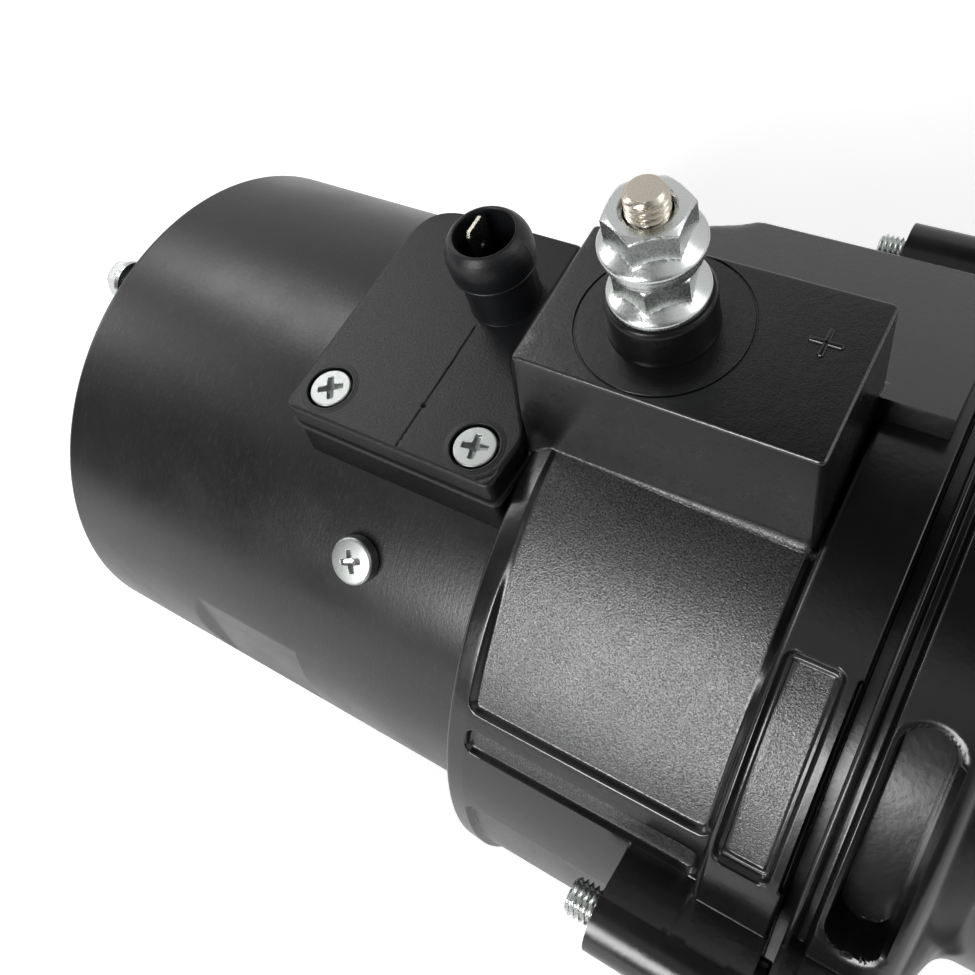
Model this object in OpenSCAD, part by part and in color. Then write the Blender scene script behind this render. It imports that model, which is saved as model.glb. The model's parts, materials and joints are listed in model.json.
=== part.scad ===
// Heavy-duty coaxial starter motor: permanent-magnet motor, planetary reduction,
// ring-shaped solenoid round the output shaft and a sliding drive pinion.
// X runs along the shaft towards the pinion, Z along the battery stud.
// The origin is the centre of the mounting face.

/* [Yoke] */
// Outside diameter of the steel yoke tube
yoke_d = 153.6; // [152:0.2:154]
// Wall thickness of the yoke tube
yoke_wall = 5; // [4.8:0.1:5]
// Visible length of the yoke behind the cast housing
yoke_len = 140.9; // [138:0.1:144]

/* [Cast housing] */
// Outside diameter of the cast centre housing
housing_d = 175.2; // [174:0.2:177]
// Distance from the mounting face back to the rear face of the cast housing
housing_setback = 140; // [140:1:141]
// Diameter of the flange band at the front of the cast housing
band_d = 183; // [181:0.5:186]
// Depth of the cast panels below the rim
panel_depth = 1.4; // [0.8:0.1:2]

/* [Terminal box] */
// Height of the terminal pad above the shaft axis
pad_h = 118.5; // [117:0.5:119]
// Length of the terminal box along the shaft
box_len = 57.1; // [56:0.1:58]
// Width of the terminal box across the shaft
box_w = 33.2; // [33:0.1:35]
// Flange diameter of the battery nuts
nut_flange_d = 17.9; // [17:0.1:18]

/* [Terminal cover] */
// Height of the plastic cover's top face above the shaft axis
cover_top = 88; // [88:0.5:89]
// Thickness of the plastic cover
cover_t = 6; // [5.5:0.1:6.5]
// Bore of the round plug socket
socket_bore_d = 13.5; // [13:0.1:14]
// Height of the plug socket above the cover
socket_h = 21.5; // [20:0.5:22]

/* [Drive end] */
// Diameter of the locating pilot
pilot_d = 92; // [90:0.5:94]
// Pitch circle of the flange holes
flange_pcd = 170; // [168:1:172]
// Diameter of the flange holes
flange_hole_d = 13.5; // [13:0.5:14]

/* [Hidden] */
$fn = 72;

// Threads, connectors and gears that keep their standard sizes
stud_d = 8;
stud_end_d = 7.2;     // free end above the upper nut, at the thread's mean diameter
nut_af = 13;
screw_r = 2.5;        // M5 cover screws
earth_screw_r = 3;    // M6
clamp_bolt_r = 4;
through_bolt_r = 3;
blade_w = 6.3;
blade_t = 0.8;
gear_module = 2;
sun_teeth = 12;
planet_teeth = 18;
planet_count = 3;
pinion_module = 3;
pinion_teeth = 12;
// Every named piece, in the order of assembly

// Clearances
seat_gap = 0.03;      // between pieces that are pressed or bolted together
run_gap = 0.05;       // radial clearance of bushes
tooth_play = 0.16;    // backlash taken off each gear's tooth thickness

// Radii shared by neighbouring pieces
yoke_r = yoke_d / 2;
yoke_in_r = yoke_r - yoke_wall;
housing_r = housing_d / 2;
band_r = band_d / 2;
spigot_r = 84;
chamber_r = 80;
core_r = 59.2;
magnet_in_r = 60;
commutator_r = 22;
hub_r = 14;
output_r = 12;
sleeve_r = 15.4;
frame_r = 66;
drum_r = 33;
race_r = 22;
roller_r = 2.5;
neck_r = 58;
shaft_front_r = 17;
nose_r = 30;

// Places along the shaft, from the rear face of the cast housing
yoke_front = 6;
band_x0 = 61;
housing_front = 76.3;
boss_x0 = 46;
boss_front = 78.7;
plate_x0 = 6;
plate_x1 = 14;
gear_x0 = 14.2;
gear_x1 = 34;
carrier_x0 = 34.8;
carrier_x1 = 42.6;
core_x0 = 72;
frame_x1 = 78;
hub_x0 = 85;
drum_x0 = 97;
drum_x1 = 116;
front_wall_x0 = 136;
face_x = housing_setback;
nose_x1 = 155;
pinion_x0 = 157;
pinion_x1 = 181;
stack_x0 = -92;
stack_x1 = -20;
bearing_x = -137.5;
comm_x0 = -126;
comm_x1 = -102;
cover_rear = -147;

// Through bolts, magnets and housing bolts round the shaft
bolt_gap_angle = 5;
bolt_circle_r = 66.8;
through_bolt_angles = [bolt_gap_angle, bolt_gap_angle + 180];
magnet_count = 6;
magnet_span = 44;
lead_angle = bolt_gap_angle - 60;
boss_angles = [-57, 63, 183];
boss_circle_r = 98.6;
boss_r = 8;
flange_angles = [3, 123, 243];
lug_r = 15;
lug_x0 = 126;
slot_angles = [39, 87, 159, 207, 279, 327];
slot_half = 11.5;     // half the angle that a drainage slot spans
slot_x0 = 84.5;
slot_x1 = 94;
brush_angles = [45 : 90 : 315];
bar_count = 24;       // slots of the armature and bars of the commutator

// Rating-plate flat and earth screw on the yoke
flat_angle = 81;
flat_depth = 1.7;
earth_angle = 39.3;
earth_x = -36.2;

// Panels and pockets of the cast housing, as [start, end] angles from +Z towards -Y
panel_spans = [[9, 49.7], [53.3, 57.3], [71, 108], [112, 148], [152, 174], [192, 214], [218, 252], [256, 284]];
panel_x0 = 5.6;
panel_x1 = 59.7;
pocket_spans = [[22.6, 50], [120, 150], [216, 246]];
pocket_depth = 2.4;

// Terminal box
box_x0 = 3.1;
box_y0 = -16.7;
box_lean = 4;
box_lean_z = 92.7;
box_overhang_z = 85;
stud_x = 24.9;
pad_t = 5.5;
bush_top = 127;
contact_x0 = 33;
bridge_travel = 3;
nut_h = 8.2;
washer_z = 135.4;
washer_t = 1.5;
upper_nut_z = 138.46;
nut_top = upper_nut_z + nut_h;
stud_top = 150.4;
relay_z = 92.3;       // axis of the contact relay
relay_coil_z = 93.5;

// Terminal cover and plug socket
base_top = 80.7;
gasket_top = cover_top - cover_t;
socket_top = cover_top + socket_h;
cover_screw_places = [[-50, -22.5], [-10.4, -22.8]];
socket_x = -24.1;
socket_y = 14.2;
blade_x = -27.8;
blade_y = 15.7;
blade_top = 109.2;

// Control lead: its radius, its run along the base and its drop to the solenoid
lead_r = 1.2;
lead_y = -8;
lead_z = 79;
lead_drop_x = 40;
lead_coil_z = 56;

// Gear geometry
pressure_angle = 20;
tip_factor = 0.9;
root_factor = 1.25;
ring_teeth = sun_teeth + 2 * planet_teeth;
gear_centre = gear_module * (sun_teeth + planet_teeth) / 2;
ring_out_r = 58;
pin_r = 6;

// ---------- helpers ----------

// Moves to the rear face of the cast housing, where all lengths start
module from_housing() translate([-housing_setback, 0, 0]) children();

module rod_x(x0, x1, r) translate([x0, 0, 0]) rotate([0, 90, 0]) cylinder(h = x1 - x0, r = r);

module tube_x(x0, x1, r_out, r_in) difference() {
    rod_x(x0, x1, r_out);
    rod_x(x0 - 1, x1 + 1, r_in);
}

// Solid of revolution about the shaft, from [radius, x] points
module turned_x(points) rotate([0, 90, 0]) rotate_extrude() polygon(points);

// Part of a ring between two angles, counted from +Z towards -Y
module sector_x(x0, x1, r0, r1, a0, a1)
    rotate([0, 90, 0]) rotate([0, 0, a0 + 180]) rotate_extrude(angle = a1 - a0)
        translate([r0, x0]) square([r1 - r0, x1 - x0]);

// Turns about the shaft and lifts to a radius
module at_angle(a, r = 0) rotate([a, 0, 0]) translate([0, 0, r]) children();

module hex_x(x0, x1, across) translate([x0, 0, 0]) rotate([0, 90, 0])
    cylinder(h = x1 - x0, r = across / sqrt(3), $fn = 6);

module outline_x(x0, x1, points) translate([x0, 0, 0]) rotate([90, 0, 90])
    linear_extrude(x1 - x0) polygon(points);

// Groove that the balls of the rear bearing run in
module ball_track(r) rotate([0, 90, 0]) translate([0, 0, bearing_x]) rotate_extrude()
    translate([12.5, 0]) circle(r = r);

function arc(cx, cy, r, a0, a1, steps = 8) =
    [for (k = [0 : steps]) let (a = a0 + (a1 - a0) * k / steps) [cx + r * cos(a), cy + r * sin(a)]];

// Involute of a circle, as the angle it turns by at pressure angle a
function involute(a) = tan(a) * 180 / PI - a;

// Outline of a spur gear with a tooth centred on 0 degrees
function gear_outline(m, z, play, tip, root, steps = 5) =
    let (
        pitch_r = m * z / 2,
        base_r = pitch_r * cos(pressure_angle),
        tip_r = pitch_r + tip * m,
        root_r = pitch_r - root * m,
        start_r = max(base_r, root_r),
        half = 90 / z - play / pitch_r * 90 / PI,
        at_pitch = half + involute(pressure_angle),
        rs = [for (k = [0 : steps]) start_r + (tip_r - start_r) * k / steps],
        flank = [for (r = rs) [r, at_pitch - involute(acos(base_r / r))]],
        root_a = flank[0][1],
        tooth = concat([[root_r, -root_a]], [for (f = flank) [f[0], -f[1]]],
            [for (k = [steps : -1 : 0]) flank[k]], [[root_r, root_a]]))
    [for (t = [0 : z - 1]) for (p = tooth)
        [p[0] * cos(p[1] + t * 360 / z), p[0] * sin(p[1] + t * 360 / z)]];

// Gear along X; turn is measured the same way as the joints, from +Z towards -Y
module gear_x(x0, x1, m, z, turn = 0, play = tooth_play, tip = tip_factor, root = root_factor)
    rotate([turn, 0, 0]) translate([x0, 0, 0]) rotate([0, 90, 0]) rotate([0, 0, 180])
        linear_extrude(x1 - x0) polygon(gear_outline(m, z, play, tip, root));

// Flange nut standing on z0, with a chamfered top
module flange_nut(z0, flange_t = 1.4) difference() {
    translate([0, 0, z0]) union() {
        cylinder(h = flange_t, r = nut_flange_d / 2);
        translate([0, 0, flange_t]) cylinder(h = 1.6, r1 = nut_flange_d / 2, r2 = nut_af / 2);
        cylinder(h = nut_h, r = nut_af / sqrt(3), $fn = 6);
    }
    cylinder(h = 200, r = stud_d / 2 + seat_gap);
    translate([0, 0, z0 + nut_h]) rotate_extrude()
        polygon([[nut_af / 2 - 0.2, 0.1], [nut_af, 0.1], [nut_af, -2.2]]);
}

// Clearance holes of the two cover screws, from height z0 up
module screw_holes(z0) for (p = cover_screw_places)
    translate([p[0], p[1], z0]) cylinder(h = 30, r = screw_r + seat_gap);

// Cross recess of a screw head
module cross_recess(depth, size) for (a = [0, 90]) rotate([0, 0, a])
    translate([-size / 2, -0.6, -depth]) cube([size, 1.2, depth + 1]);

// ---------- motor ----------

module yoke() color("#1b1b1d") from_housing() difference() {
    turned_x([[yoke_in_r, -yoke_len], [yoke_r - 1.5, -yoke_len], [yoke_r, -yoke_len + 1.5],
        [yoke_r, yoke_front], [yoke_in_r, yoke_front]]);
    // flat for a rating plate, with a sloping end
    at_angle(flat_angle) rotate([90, 0, 0]) linear_extrude(44, center = true)
        polygon([[-99, yoke_r + 0.4], [-92, yoke_r - flat_depth], [-56, yoke_r - flat_depth],
            [-56, yoke_r + 4], [-99, yoke_r + 4]]);
    at_angle(earth_angle) translate([earth_x, 0, yoke_r - 12])
        cylinder(h = 20, r = earth_screw_r);
    screw_holes(60);
}

module field_magnets() color("#3a3a3c") from_housing()
    for (k = [0 : magnet_count - 1]) let (a = bolt_gap_angle + 30 + k * 60)
        sector_x(stack_x0, stack_x1 + 2, magnet_in_r, yoke_in_r - 0.1, a - magnet_span / 2,
            a + magnet_span / 2);

module magnet_clips() color("silver") from_housing()
    for (k = [1, 2, 4]) let (a = bolt_gap_angle + k * 60) {
        sector_x(stack_x0, stack_x1 + 2, yoke_in_r - 1, yoke_in_r - seat_gap, a - 7.8, a + 7.8);
        for (side = [-7.8, 6.6])
            sector_x(stack_x0, stack_x1 + 2, magnet_in_r + 2, yoke_in_r - 0.9, a + side, a + side + 1.2);
    }

module rear_cover() color("#1d1d1f") from_housing() difference() {
    turned_x([[0, cover_rear], [66, cover_rear], [73, -143.5], [74.5, -yoke_len - seat_gap],
        [yoke_in_r - 0.1, -yoke_len - seat_gap], [yoke_in_r - 0.1, -136], [62, -136], [60, -141],
        [22, -141], [22, -131.5], [17.5 + seat_gap, -131.5], [17.5 + seat_gap, -143.5], [0, -143.5]]);
    // groove for the seal
    tube_x(-139.4, -137.4, yoke_in_r + 1, yoke_in_r - 1.9);
    for (a = through_bolt_angles) at_angle(a, bolt_circle_r) rod_x(-150, -130, through_bolt_r + 0.2);
}

module rear_seal() color("#101010") from_housing()
    turned_x([for (a = [0 : 20 : 340]) [yoke_in_r - 1 + 0.85 * cos(a), -138.4 + 0.85 * sin(a)]]);

module through_bolts() color("#c9ccce") from_housing()
    for (a = through_bolt_angles) at_angle(a, bolt_circle_r) {
        rod_x(cover_rear - 1, 21, through_bolt_r);
        rod_x(cover_rear - 1.6, cover_rear - seat_gap, 6.2);
        hex_x(cover_rear - 6, cover_rear - 1.5, 10);
    }

module rear_bearing_outer() color("#b9bcc0") from_housing() difference() {
    tube_x(bearing_x - 5.5, bearing_x + 5.5, 17.5, 14.4);
    ball_track(3.15);
}

module rear_bearing_inner() color("#c4c7ca") from_housing() {
    difference() {
        tube_x(bearing_x - 5.5, bearing_x + 5.5, 10.6, 7.5 + seat_gap);
        ball_track(3.03);
    }
    for (k = [0 : 7]) at_angle(k * 45, 12.5) translate([bearing_x, 0, 0]) sphere(r = 3);
}

module armature_shaft() color("#a8abae") from_housing() union() {
    turned_x([[0, -143.2], [7, -143.2], [7.5, -142.6], [7.5, -131.8], [12, -131.8], [12, -16],
        [hub_r, -16], [hub_r, gear_x0 + 0.3], [6, gear_x0 + 0.3], [6, carrier_x1 - 0.4],
        [0, carrier_x1 - 0.4]]);
    gear_x(gear_x0, gear_x1, gear_module, sun_teeth);
}

module armature_core() color("#5a5c60") from_housing() difference() {
    tube_x(stack_x0, stack_x1, core_r, 12 + seat_gap);
    for (k = [1 : bar_count]) at_angle(k * 360 / bar_count) translate([stack_x0 - 1, -1.8, 40])
        cube([stack_x1 - stack_x0 + 2, 3.6, 30]);
}

module armature_winding() color("#b5713a") from_housing() {
    for (k = [1 : bar_count]) at_angle(k * 360 / bar_count) translate([stack_x0 - 2, -1.5, 42])
        cube([stack_x1 - stack_x0 + 4, 3, 15.5]);
    turned_x([[28, stack_x1 + 0.4], [57, stack_x1 + 0.4], [57, -13], [52, -9], [34, -9], [28, -13]]);
    turned_x([[24, stack_x0 - 0.4], [57, stack_x0 - 0.4], [55, -99], [26, -101.6], [24, -101.6]]);
}

module commutator() color("#c07f4d") from_housing() difference() {
    turned_x([[18, comm_x0], [commutator_r, comm_x0], [commutator_r, comm_x1 - 3], [26.5, comm_x1 - 3],
        [26.5, comm_x1], [18, comm_x1]]);
    for (k = [1 : bar_count]) at_angle((k + 0.5) * 360 / bar_count) translate([comm_x0 - 1, -0.4, 10])
        cube([comm_x1 - comm_x0 + 2, 0.8, 20]);
}

module commutator_hub() color("#3c2a1c") from_housing()
    tube_x(comm_x0 - 1, comm_x1 + 1, 18 - seat_gap, 12 + seat_gap);

module brush_plate() color("#6b4a2e") from_housing() difference() {
    tube_x(-131, -128.5, 61, 27);
    for (a = brush_angles) at_angle(a, 52) rod_x(-133, -126, 2.2);
}

module brush_boxes() color("#c9a54e") from_housing()
    for (a = brush_angles) at_angle(a) difference() {
        translate([-128.5, -8, 25]) cube([23, 16, 20]);
        translate([-126.6, -6.1, 20]) cube([19.2, 12.2, 30]);
    }

module brushes() color("#2b2b2d") from_housing()
    for (a = brush_angles) at_angle(a) translate([-126.5, -6, commutator_r + run_gap]) cube([19, 12, 17]);

module brush_springs() color("#b8bbbe") from_housing()
    for (a = brush_angles) at_angle(a) translate([-117, 0, commutator_r + 17.2]) difference() {
        cylinder(h = 12, r = 4.5);
        translate([0, 0, -1]) cylinder(h = 14, r = 3.4);
    }

// ---------- control terminal ----------

// Outline of the cover seen from above, grown by g on every side
function cover_outline(g) = concat(
    arc(-56.2, -28.2, 1.8 + g, 180, 270, 4), arc(-5, -28.2, 1.8 + g, 270, 355, 4),
    [[-2 + g, -17], [-14.4 + g, 0], [-14.4 + g, 33.5 + g]], arc(-51, 27, 6.5 + g, 90, 180));

module terminal_base() color("#141416") from_housing() difference() {
    union() {
        translate([0, 0, 60]) linear_extrude(base_top - 60) polygon(cover_outline(-0.6));
        translate([-16, -14.5, 74]) cube([16 - seat_gap, 11, base_top - 74]);
    }
    rod_x(-80, 10, yoke_r + seat_gap);
    // trough for the control lead
    translate([-30, -10, 77.6]) cube([31, 4, 8]);
    translate([-31, -10, 77.6]) cube([7.5, 30, 8]);
    screw_holes(60);
}

module cover_gasket() color("#0e0e0f") from_housing() difference() {
    translate([0, 0, base_top]) linear_extrude(gasket_top - base_top) polygon(cover_outline(0.4));
    translate([blade_x - 2.5, blade_y - 5, 70]) cube([6, 10, 20]);
    screw_holes(70);
}

module terminal_cover() color("#2b2c30") from_housing() difference() {
    union() {
        translate([0, 0, gasket_top]) linear_extrude(cover_t) polygon(cover_outline(0));
        translate([socket_x, socket_y, 0]) rotate_extrude()
            polygon([[0, cover_top - 1], [8.8, cover_top - 1], [8.7, cover_top + 10.9], [9.2, cover_top + 10.95],
                [9.85, cover_top + 16.5], [9.4, socket_top - 2.8], [8.5, socket_top - 1.3],
                [7.4, socket_top], [0, socket_top]]);
    }
    translate([socket_x, socket_y, gasket_top + 3]) cylinder(h = 60, r = socket_bore_d / 2);
    translate([blade_x - seat_gap, blade_y - blade_w / 2 - seat_gap, 70])
        cube([blade_t + 2 * seat_gap, blade_w + 2 * seat_gap, 30]);
    for (p = cover_screw_places) translate([p[0], p[1], 0]) {
        cylinder(h = 100, r = screw_r + seat_gap);
        translate([0, 0, cover_top - 3.1]) cylinder(h = 2.45, r1 = screw_r + seat_gap, r2 = 5.0);
        translate([0, 0, cover_top - 0.66]) cylinder(h = 2, r = 5.3);
    }
}

module cover_screws() color("#d5d7d8") from_housing()
    for (p = cover_screw_places) translate([p[0], p[1], 0]) difference() {
        union() {
            translate([0, 0, 69.5]) cylinder(h = 16, r = screw_r);
            translate([0, 0, cover_top - 3.05]) cylinder(h = 2.35, r1 = screw_r, r2 = 4.85);
            translate([0, 0, cover_top - 0.7]) cylinder(h = 0.5, r = 4.85);
        }
        translate([0, 0, cover_top - 0.2]) rotate([0, 0, 25]) cross_recess(1.6, 5);
    }

module blade_terminal() color("#d0cdc0") from_housing() difference() {
    translate([blade_x, blade_y, 0]) rotate([90, 0, 90]) linear_extrude(blade_t)
        polygon([[-blade_w / 2, 79.4], [blade_w / 2, 79.4], [blade_w / 2, blade_top - 1.2],
            [blade_w / 2 - 0.8, blade_top], [0.8 - blade_w / 2, blade_top], [-blade_w / 2, blade_top - 1.2]]);
    translate([blade_x - 1, blade_y, blade_top - 6]) rotate([0, 90, 0]) cylinder(h = 3, r = 0.9);
}

// Insulated wire from the blade through the housing wall to the solenoid
module control_lead() color("#6e1f1c") from_housing() {
    start_x = blade_x + blade_t + lead_r + 0.02;
    translate([start_x, lead_y, lead_z]) sphere(r = lead_r);
    translate([start_x, blade_y - 2, lead_z]) rotate([90, 0, 0])
        cylinder(h = blade_y - 2 - lead_y, r = lead_r);
    translate([0, lead_y, lead_z]) rod_x(start_x, lead_drop_x, lead_r);
    translate([lead_drop_x, lead_y, lead_z]) sphere(r = lead_r);
    translate([lead_drop_x, lead_y, lead_coil_z]) cylinder(h = lead_z - lead_coil_z, r = lead_r);
    translate([lead_drop_x, lead_y, lead_coil_z]) sphere(r = lead_r);
    translate([0, lead_y, lead_coil_z]) rod_x(lead_drop_x, 49, lead_r);
}

module earth_screw() color("#d2d4d5") from_housing() at_angle(earth_angle) translate([earth_x, 0, 0])
difference() {
    union() {
        translate([0, 0, yoke_in_r + 0.1]) cylinder(h = yoke_wall, r = earth_screw_r - seat_gap);
        translate([0, 0, yoke_r + 0.05]) rotate_extrude()
            polygon(concat([[0, 0], [5.9, 0]], arc(4.6, 1.9, 1.3, 0, 60, 4), [[3, 3.4], [0, 3.6]]));
    }
    translate([0, 0, yoke_r + 3.7]) rotate([0, 0, 20]) cross_recess(2.4, 6);
}

// ---------- cast centre housing ----------

// Section of the shoulder on the far side, as [y, z]
far_face = [[6, 78], [13, 96], [66.3, 71.2], [67.6, 70.4], [68.6, 69], [80, 38], [66, 40]];

module housing_barrel() difference() {
    turned_x([[yoke_r + 0.15, 0], [housing_r - 1, 0], [housing_r, 1], [housing_r, band_x0],
        [band_r - 1, band_x0], [band_r, band_x0 + 1], [band_r, housing_front - 0.8],
        [band_r - 0.8, housing_front], [spigot_r, housing_front], [spigot_r, 82], [chamber_r, 82],
        [chamber_r, 22], [ring_out_r + seat_gap, 22], [ring_out_r + seat_gap, plate_x1],
        [yoke_r + 0.15, plate_x1]]);
    for (s = panel_spans) sector_x(panel_x0, panel_x1, housing_r - panel_depth, housing_r + 2, s[0], s[1]);
    // textured pockets in the flange band
    for (s = pocket_spans) {
        sector_x(62.4, 73, band_r - pocket_depth, band_r + 2, s[0], s[1]);
        sector_x(housing_front - 1, housing_front + 1, spigot_r + 2, band_r + 2, s[0], s[1]);
    }
}

module housing_boss(a) at_angle(a) {
    translate([0, 0, boss_circle_r]) rod_x(boss_x0, boss_front, boss_r);
    translate([boss_x0, -boss_r, 82]) cube([housing_front - boss_x0, 2 * boss_r, boss_circle_r - 82]);
}

// Cast shoulder on the far side, with a rear end that slopes
module far_shoulder() difference() {
    outline_x(-1.2, housing_front - 2, far_face);
    at_angle(-46) rotate([90, 0, 0]) linear_extrude(100, center = true)
        polygon([[-5, 88], [-1, 91], [3.8, 94.1], [10, 95.8], [15, 97.7], [15, 120], [-5, 120]]);
    rod_x(-3, 80, 82);
}

// Box under the battery terminal; its rear wall leans out over the housing's rear face
module terminal_box() translate([0, box_y0 + box_w, 0]) rotate([90, 0, 0]) linear_extrude(box_w)
    polygon([[1, 81], [box_x0 + box_len, 81], [box_x0 + box_len, pad_h], [box_x0, pad_h],
        [box_x0 - box_lean, box_lean_z], [box_x0 - box_lean, box_overhang_z], [1, box_overhang_z]]);

module centre_housing() color("#161617") from_housing() difference() {
    union() {
        housing_barrel();
        terminal_box();
        far_shoulder();
        for (a = boss_angles) housing_boss(a);
        // polarity mark
        translate([49, 4.4, pad_h - 1]) cube([6, 1.2, 1.5]);
        translate([51.4, 2, pad_h - 1]) cube([1.2, 6, 1.5]);
    }
    translate([8.5, -11.7, 84]) cube([46.5, 23.4, pad_h - pad_t - 84]);
    translate([24, -6.5, 75]) cube([20, 13, 10]);
    translate([stud_x, 0, 100]) cylinder(h = 30, r = 6 + seat_gap);
    // ring groove round the insulator
    translate([stud_x, 0, pad_h - 0.4]) difference() {
        cylinder(h = 1, r = 16.2);
        translate([0, 0, -1]) cylinder(h = 3, r = 15.7);
    }
    for (a = boss_angles) at_angle(a, boss_circle_r) rod_x(40, 90, clamp_bolt_r + seat_gap);
    for (a = through_bolt_angles) at_angle(a, bolt_circle_r) rod_x(10, 30, through_bolt_r + seat_gap);
    at_angle(lead_angle) translate([10, -6, 62]) cube([20, 12, 10]);
    // hole for the control lead
    translate([0, lead_y, lead_z]) rod_x(-2, lead_drop_x + 1.5, lead_r + 0.15);
}

// ---------- battery terminal and main contact ----------

module battery_stud() color("#c8bfa8") from_housing() {
    translate([stud_x, 0, 106]) cylinder(h = nut_top - 106, r = stud_d / 2);
    translate([stud_x, 0, nut_top - 1]) cylinder(h = stud_top - nut_top + 0.4, r = stud_end_d / 2);
    translate([stud_x, 0, stud_top - 0.6]) cylinder(h = 0.6, r1 = stud_end_d / 2, r2 = stud_end_d / 2 - 0.6);
    translate([17, -8, 105]) cube([19, 16, 4.9]);
    translate([contact_x0, -8, 95.8]) cube([3, 16, 12]);
}

module insulator_bush() color("#101011") from_housing() translate([stud_x, 0, 0]) rotate_extrude()
    polygon([[stud_d / 2 + seat_gap, pad_h - pad_t], [6, pad_h - pad_t], [6, pad_h + seat_gap],
        [10.1, pad_h + seat_gap], [9.9, pad_h + 0.8], [9.8, bush_top - 0.8], [9.3, bush_top],
        [stud_d / 2 + seat_gap, bush_top]]);

module inner_insulator() color("#1a1a1a") from_housing() translate([stud_x, 0, 0]) difference() {
    translate([0, 0, 110]) cylinder(h = pad_h - pad_t - 110 - seat_gap, r = 9.5);
    translate([0, 0, 100]) cylinder(h = 20, r = stud_d / 2 + seat_gap);
}

module lower_nut() color("#d4d6d7") from_housing() translate([stud_x, 0, 0]) rotate([0, 0, 12])
    flange_nut(bush_top + seat_gap);

module flat_washer(z0, r) difference() {
    translate([0, 0, z0]) cylinder(h = washer_t, r = r);
    cylinder(h = 200, r = stud_d / 2 + 0.2);
}

module stud_washers() color("#cfd1d2") from_housing() translate([stud_x, 0, 0]) {
    flat_washer(washer_z, 7.9);
    flat_washer(washer_z + washer_t + seat_gap, 8.5);
}

module upper_nut() color("#d8dadb") from_housing() translate([stud_x, 0, 0]) rotate([0, 0, 3])
    flange_nut(upper_nut_z);

module motor_contact() color("#c07f4d") from_housing() {
    translate([contact_x0, -8, 84.5]) cube([3, 16, 4.5]);
    translate([contact_x0, -5, 71]) cube([3, 10, 14]);
}

// Copper bar from the main contact back to the brushes
module motor_lead() color("#c07f4d") from_housing() {
    sector_x(30, contact_x0 - seat_gap, 66, 79, -6, 4);
    sector_x(30, contact_x0 - seat_gap, 63, 69, lead_angle - 4, -5.9);
    at_angle(lead_angle) translate([-107.3, -3.5, 64]) cube([138.3, 7, 4]);
    sector_x(-107.3, -105.6, 64, 68, lead_angle, -43);
    at_angle(-45) translate([-107.3, -3.5, 45.03]) cube([1.7, 7, 20]);
}

module contact_bridge() color("#c98a55") from_housing() {
    translate([contact_x0 - 3 - bridge_travel - 0.05, -7, 85]) cube([3, 14, 17]);
    translate([0, 0, relay_z]) rod_x(18, 46, 2.5);
    translate([0, 0, relay_z]) rod_x(42, 50, 3.6);
}

module contact_spring() color("#b8bbbe") from_housing() translate([0, 0, relay_z])
    tube_x(contact_x0 - bridge_travel + 0.1, 38.4, 3.2, 2.6);

module relay_coil() color("#8a4a22") from_housing() translate([0, 0, relay_coil_z]) difference() {
    union() {
        rod_x(38.5, 40, 9);
        rod_x(39.9, 52, 8);
        rod_x(51.9, 54.8, 9);
    }
    translate([0, 0, relay_z - relay_coil_z]) rod_x(30, 53.2, 3.7);
}

// ---------- gear train ----------

module bearing_plate() color("#8d9094") from_housing() difference() {
    turned_x([[18 + seat_gap, -3], [24, -3], [27, plate_x0 + seat_gap], [yoke_r + 0.1, plate_x0 + seat_gap],
        [yoke_r + 0.1, plate_x1 - seat_gap], [18 + seat_gap, plate_x1 - seat_gap]]);
    for (a = through_bolt_angles) at_angle(a, bolt_circle_r) rod_x(-5, 30, through_bolt_r + seat_gap);
    at_angle(lead_angle) translate([-5, -6, 62]) cube([30, 12, 10]);
    translate([0, lead_y, lead_z]) rod_x(-5, 30, lead_r + 0.4);
}

module front_bush() color("#b08d4f") from_housing() tube_x(-3, plate_x1 - 0.2, 18, hub_r + run_gap);

module ring_gear() color("#7d8084") from_housing() difference() {
    rod_x(gear_x0, gear_x1, ring_out_r);
    gear_x(gear_x0 - 1, gear_x1 + 1, gear_module, ring_teeth, 180 / ring_teeth, -tooth_play,
        root_factor, tip_factor);
}

module planet_gear(k) color("#94979b") from_housing() at_angle(k * 120, gear_centre) difference() {
    gear_x(gear_x0 + 0.8, gear_x1, gear_module, planet_teeth, 180 / planet_teeth);
    rod_x(gear_x0, gear_x1 + 1, pin_r + run_gap);
}

module planet_gear_1() planet_gear(0);
module planet_gear_2() planet_gear(1);
module planet_gear_3() planet_gear(2);

module planet_pins() color("#b4b7ba") from_housing()
    for (k = [0 : planet_count - 1]) at_angle(k * 120, gear_centre) rod_x(gear_x0 + 0.8, carrier_x1, pin_r);

module output_shaft() color("#9ea1a5") from_housing() difference() {
    union() {
        turned_x([[6 + run_gap, carrier_x0], [42, carrier_x0], [42, carrier_x1], [output_r, carrier_x1],
            [output_r, hub_x0 - 1.2], [10, hub_x0 - 1.2], [10, 117], [0, 117], [0, carrier_x1 - 0.2],
            [6 + run_gap, carrier_x1 - 0.2]]);
        spline_x(hub_x0 - 1.5, 113.9, 11.9, 3.8);
        // stop ring for the return spring
        tube_x(114, 116.6, 17.2, 9.9);
    }
    for (k = [0 : planet_count - 1]) at_angle(k * 120, gear_centre) rod_x(30, 50, pin_r + seat_gap);
}

// Six straight splines
module spline_x(x0, x1, r, w) intersection() {
    union() for (k = [0 : 5]) at_angle(k * 60) translate([x0, -w / 2, 5]) cube([x1 - x0, w, r]);
    rod_x(x0, x1, r);
}

// ---------- solenoid ----------

module guide_sleeve() color("#c2a35a") from_housing() difference() {
    turned_x([[13 + seat_gap, 43.6], [frame_r, 43.6], [frame_r, 45.2], [sleeve_r, 45.2], [sleeve_r, 70],
        [13 + seat_gap, 70]]);
    translate([0, lead_y, lead_coil_z]) rod_x(40, 50, lead_r + 0.2);
}

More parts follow.
